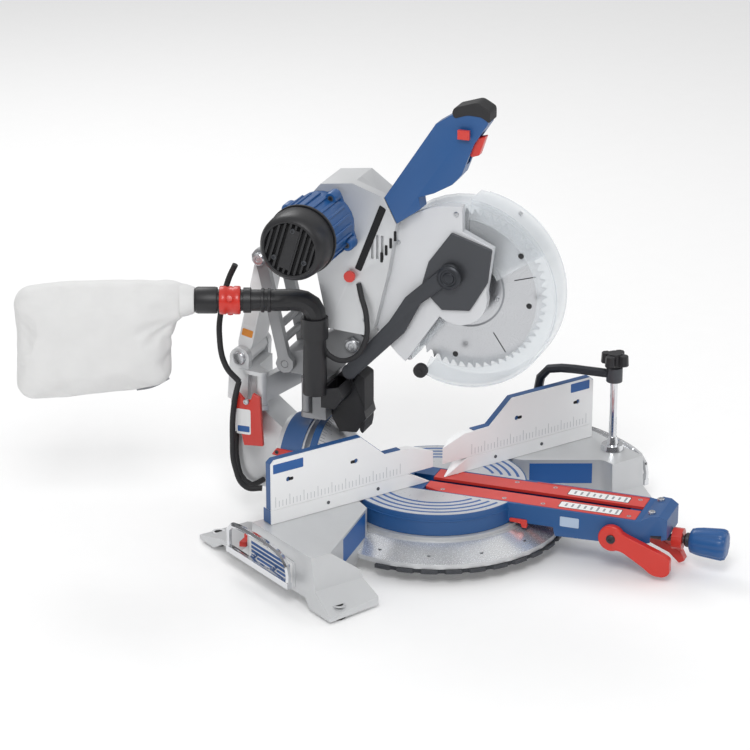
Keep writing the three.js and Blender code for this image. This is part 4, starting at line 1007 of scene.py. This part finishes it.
def base_details():
    # a washer and dark hole for the bench bolt of each foot
    for i, (x, y) in enumerate(((-300, -168), (290, -146), (-300, 166), (300, 166))):
        at = touch((x, y, 200), DOWN, BASE)
        lathe(f"foot_hole_{i + 1}", rect(0, 6.5, 0, 0.25), at, TOP, "base",
              "cast_aluminium", where=BASE, segments=32, look="shadow")
        lathe(f"foot_washer_{i + 1}", rect(6.5, 10.5, -0.3, 1.2), at, TOP, "base",
              "cast_aluminium", where=BASE, segments=40, edge=0.4)
    # a plate with a striped label on each end wall
    y1 = 40
    for (side, label), y0 in zip(SIDES, (-90, -78)):
        at = touch((side * 420, (y0 + y1) / 2, 46), (-side, 0, 0), BASE)

        def plate(name, outline, near, far, **looks):
            low, high = sorted((at.x + side * near, at.x + side * far))
            prism(name, outline, "n", low, high, "base", "cast_aluminium", where=BASE, **looks)

        plate(f"side_plate_{label}", soft(rect(y0, y1, 26, 68), 4), -0.2, 1.4, edge=0.6)
        plate(f"side_label_{label}", soft(rect(y0 + 6, y1 - 6, 30, 64), 3), 1.2, 1.7, look="label_white")
        for i in range(4):
            stripe = rect(y0 + 12, y1 - 12, 34 + 7 * i, 38.5 + 7 * i)
            plate(f"side_stripe_{label}_{i + 1}", stripe, 1.6, 1.9, look="label_blue")
    wall_panel("wall_label_left", (-252, -103), (-153, -28), 0.08, 0.92, 46, 86)
    wall_panel("wall_label_right", (258, -83), (158, -14), 0.10, 0.92, 50, 84)
    # screws that hold the detent plate up through the ring
    for i, turn in enumerate((205, 230, 256, 282)):
        a = math.radians(turn)
        at = touch((178 * math.cos(a), 178 * math.sin(a), 90), DOWN, BASE)
        lathe(f"ring_screw_{i + 1}", rect(0, 3.2, -0.6, 0.5), at, TOP, "base",
              "dark_metal", where=BASE, segments=20)


base_details()


# ---------------------------------------------------------------- tower and linkage
def tower_details():
    screw("holder_screw", left_face(295, 203), LEFT, 5.0, "tower_body")
    at = left_face(300, 170)
    prism("holder_label", soft(rect(288, 312, 148, 190), 3), "n", at.x - 0.3, at.x + 0.2, "tower_body",
          "red_plastic", look="label_white")
    prism("holder_stripe", soft(rect(290, 310, 152, 162), 1.5), "n", at.x - 0.5, at.x, "tower_body",
          "red_plastic", look="label_blue")
    lathe("tower_pin_cap", [(0, -0.5), (11, -0.5), (11, 3), (9, 5), (0, 5)],
          left_face(TOWER.y, TOWER.z), LEFT, "tower_body", "steel", segments=32, edge=0.6)
    apex = pivot("glide_apex")
    lathe("apex_pin_cap", [(0, -0.5), (10, -0.5), (10, 2.5), (8, 4), (4, 4), (3.5, 3), (0, 3)],
          left_face(apex.y, apex.z), LEFT, "rear_link_body", "steel", segments=32, edge=0.5)
    # coloured band and label up the rear link
    for name, z0, z1, look in (("link_label", 318, 392, "label_white"),
                               ("link_band", 300, 312, "label_orange")):
        mid_z = (z0 + z1) / 2
        lean = (mid_z - TOWER.z) / (apex.z - TOWER.z)
        mid_y = TOWER.y + (apex.y - TOWER.y) * lean
        spot = left_face(mid_y, mid_z)
        shape = turned(soft(rect(mid_y - 9, mid_y + 9, z0, z1), 2), (mid_y, mid_z),
                       math.degrees(math.atan2(TOWER.y - apex.y, apex.z - TOWER.z)))
        prism(name, shape, "n", spot.x - 0.3, spot.x + 0.3, "rear_link_body", "red_plastic", look=look)
    # bevel scale: a bright skin over the cone, with marks along it, and a pointer from the tower
    skin = bmesh.new()
    cone_y, cone_deep = 139.4, 38.6
    add_lathe(skin, [(49.4, 0), (79.2, cone_deep), (79.6, 38.4), (49.9, -0.4)], (0, cone_y, TABLE_TOP),
              REAR, segments=60, start=-130, sweep=170)
    piece("bevel_skin", skin, "table", "blue_casting", look="machined")
    marks = bmesh.new()
    for i in range(-20, 21):
        a = math.radians(90 + i * 4)
        ray = Vector((math.cos(a), 0, math.sin(a)))
        across = Vector((-math.sin(a), 0, math.cos(a))) * 0.5
        depth = 12 if i % 5 == 0 else 7
        corners = []
        for share in (1.0, 1.0 - depth / 40):
            at = Vector((0, cone_y + cone_deep * share, TABLE_TOP)) + ray * (49.8 + 30.2 * share)
            corners += [at + across, at - across]
        add_tile(marks, ARM, corners, ray * 0.25, ray * 0.3)
    piece("bevel_marks", marks, "table", "blue_casting", look="ink_grey")
    # painted band round the hub of the tower
    def arch(half, rise, radius, start, stop):
        """Up one side, over the arc and down the other; the half width's sign gives the side."""
        top = [(n, z) for n, z in arc(0, TABLE_TOP, radius, start, stop, 40) if abs(n) < abs(half)]
        return [(half, 60), (half, TABLE_TOP + rise), *top, (-half, TABLE_TOP + rise), (-half, 60)]

    prism("hub_band", arch(63.6, 40, 76.5, 36, 144) + arch(-61, 38, 73, 144, 36), "y", 204, 238,
          "tower_body", "cast_aluminium", look="blue_casting")
    pointer = [(252, 122), (244, 133), (212, 131), (206, 126), (212, 120), (244, 121)]
    prism("bevel_pointer", soft(pointer, 2), "n", -66.5, -62.6, "tower_body", "red_plastic", edge=0.6)
    screw("pointer_screw", (-66.3, 243, 127), LEFT, 3.2, "tower_body", "dark_metal")


tower_details()


# ---------------------------------------------------------------- cables
def cables():
    # the mains lead up the back of the tower and on to the motor
    cable("lead_tower", [(-58, 272, 58), (-66, 296, 60), (-70, 312, 92), (-70, 316, 140), (-68, 312, 206),
                         (-64, 306, 236)], 4.6, "tower_body", "rubber")
    cable("head_loop", [(-62, 172, 322), (-70, 150, 300), (-72, 118, 300), (-72, 94, 330), (-70, 92, 372),
                        (-66, 102, 404), (-60, 108, 420)], 4.2, "saddle_body", "rubber")
    cable("lead_loop", [(-64, 306, 236), (-72, 324, 262), (-72, 334, 312), (-71, 330, 356), (-70, 318, 404),
                        (-70, 306, 430)], 4.6, "rear_link_body", "rubber")


cables()


# ---------------------------------------------------------------- clamp
def clamp_details():
    """Rings along the clamp rod that stand for its thread."""
    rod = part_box("clamp_rod")
    centre = local(BASE, (rod[0] + rod[1]) / 2)
    low, turns, pitch = rod[0].z / MM + 14, 16, 2.6
    thread = bmesh.new()
    for i in range(turns):
        add_lathe(thread, [(4.6, 0), (6.3, 1.0), (4.6, 2.0)], (centre.x, centre.y, low + i * pitch), TOP,
                  BASE, 20)
    piece("clamp_thread", thread, "clamp_screw", "steel")


clamp_details()


# ---------------------------------------------------------------- clear guard
def guard_details():
    lathe("guard_hub_ring", rect(26, 40, 0, 1.6), (27.2, ARBOR.y, ARBOR.z), RIGHT,
          "swing_guard", "clear_plastic", segments=64, edge=0.4)
    for i, (turn, reach) in enumerate(((113, 73), (143, 116), (184, 107), (275, 99))):
        lathe(f"guard_bolt_{i + 1}", [(0, -0.2), (4.4, -0.2), (4.4, 0.5), (3.6, 0.9), (0, 0.9)],
              (-24.0, *round_hub(ARBOR, turn, reach)), LEFT, "swing_guard", "clear_plastic", segments=20,
              look="black_plastic")
    prism("guard_tab", spoke(ARBOR, 150.4, 154.5, 3, 123), "n", -3, 3, "swing_guard", "steel", edge=1.0)
    start, stop = 100, 288
    rim = arc(ARBOR.y, ARBOR.z, 150.9, start, stop, 64) + arc(ARBOR.y, ARBOR.z, 148.4, stop, start, 64)
    for name, low, high in (("guard_rib_left", -24.6, -22.6), ("guard_rib_right", 25.4, 27.4)):
        prism(name, rim, "n", low, high, "swing_guard", "clear_plastic", edge=0.4)


guard_details()


# ---------------------------------------------------------------- studio
def studio():
    bm = bmesh.new()
    size = 9.0
    bm.faces.new([bm.verts.new((x, y, 0)) for x, y in rect(-size, size, -size, size)])
    floor = show("floor", mesh_of("floor", bm))
    pale = finish("floor", (0.88, 0.88, 0.88), 0.8, bump=0.02, vary=0.01)
    preset(pale.node_tree.nodes["Principled BSDF"], emission_color=(1, 1, 1, 1), emission_strength=0.10)
    floor.data.materials.append(pale)
    sky = bpy.data.worlds.new("studio")
    bpy.context.scene.world = sky
    sky.use_nodes = True
    # reflections see a dark horizon and a bright ceiling; the camera sees plain white
    nodes = sky.node_tree.nodes
    place = add(nodes, "ShaderNodeTexCoord")
    split = add(nodes, "ShaderNodeSeparateXYZ")
    wire(place, "Generated", split, "Vector")
    ramp = add(nodes, "ShaderNodeValToRGB")
    stops = ramp.color_ramp.elements
    stops[0].position, stops[0].color = 0.0, (0.16, 0.16, 0.17, 1)
    stops[1].position, stops[1].color = 0.55, (1.25, 1.25, 1.25, 1)
    middle = stops.new(0.22)
    middle.color = (0.45, 0.45, 0.46, 1)
    wire(split, "Z", ramp, "Fac")
    path = add(nodes, "ShaderNodeLightPath")
    choose = add(nodes, "ShaderNodeMix", data_type="RGBA", b=(2.6, 2.6, 2.6, 1))
    wire(path, "Is Camera Ray", choose, "Factor")
    wire(ramp, "Color", choose, "A")
    wire(choose, "Result", nodes["Background"], "Color")
    preset(nodes["Background"], strength=0.56)
    middle_of_saw = Vector((0, 0, 0.25))
    for name, spot, size, power in (("key", (-1.6, -1.9, 2.6), 1.2, 46),
                                    ("fill", (2.4, -1.6, 1.6), 1.6, 12),
                                    ("back", (0.4, 2.4, 2.4), 1.4, 26)):
        light = bpy.data.lights.new(name, "AREA")
        light.size = size
        light.energy = power
        lamp = show(name, light)
        lamp.location = Vector(spot) + PIVOT
        lamp.rotation_euler = (middle_of_saw - lamp.location).to_track_quat("-Z", "Y").to_euler()
    bpy.context.scene.view_settings.view_transform = "Standard"


def camera():
    azimuth, elevation = math.radians(-34.8), math.radians(21.03)
    away = Vector((math.sin(azimuth) * math.cos(elevation), -math.cos(azimuth) * math.cos(elevation),
                   math.sin(elevation)))
    lens = bpy.data.cameras.new("camera")
    lens.lens = 138.2
    lens.clip_end = 50
    eye = show("camera", lens)
    eye.location = Vector((-2.4384, -3.3376, 1.8532)) + PIVOT
    eye.rotation_euler = away.to_track_quat("Z", "Y").to_euler()
    bpy.context.scene.camera = eye


studio()
camera()
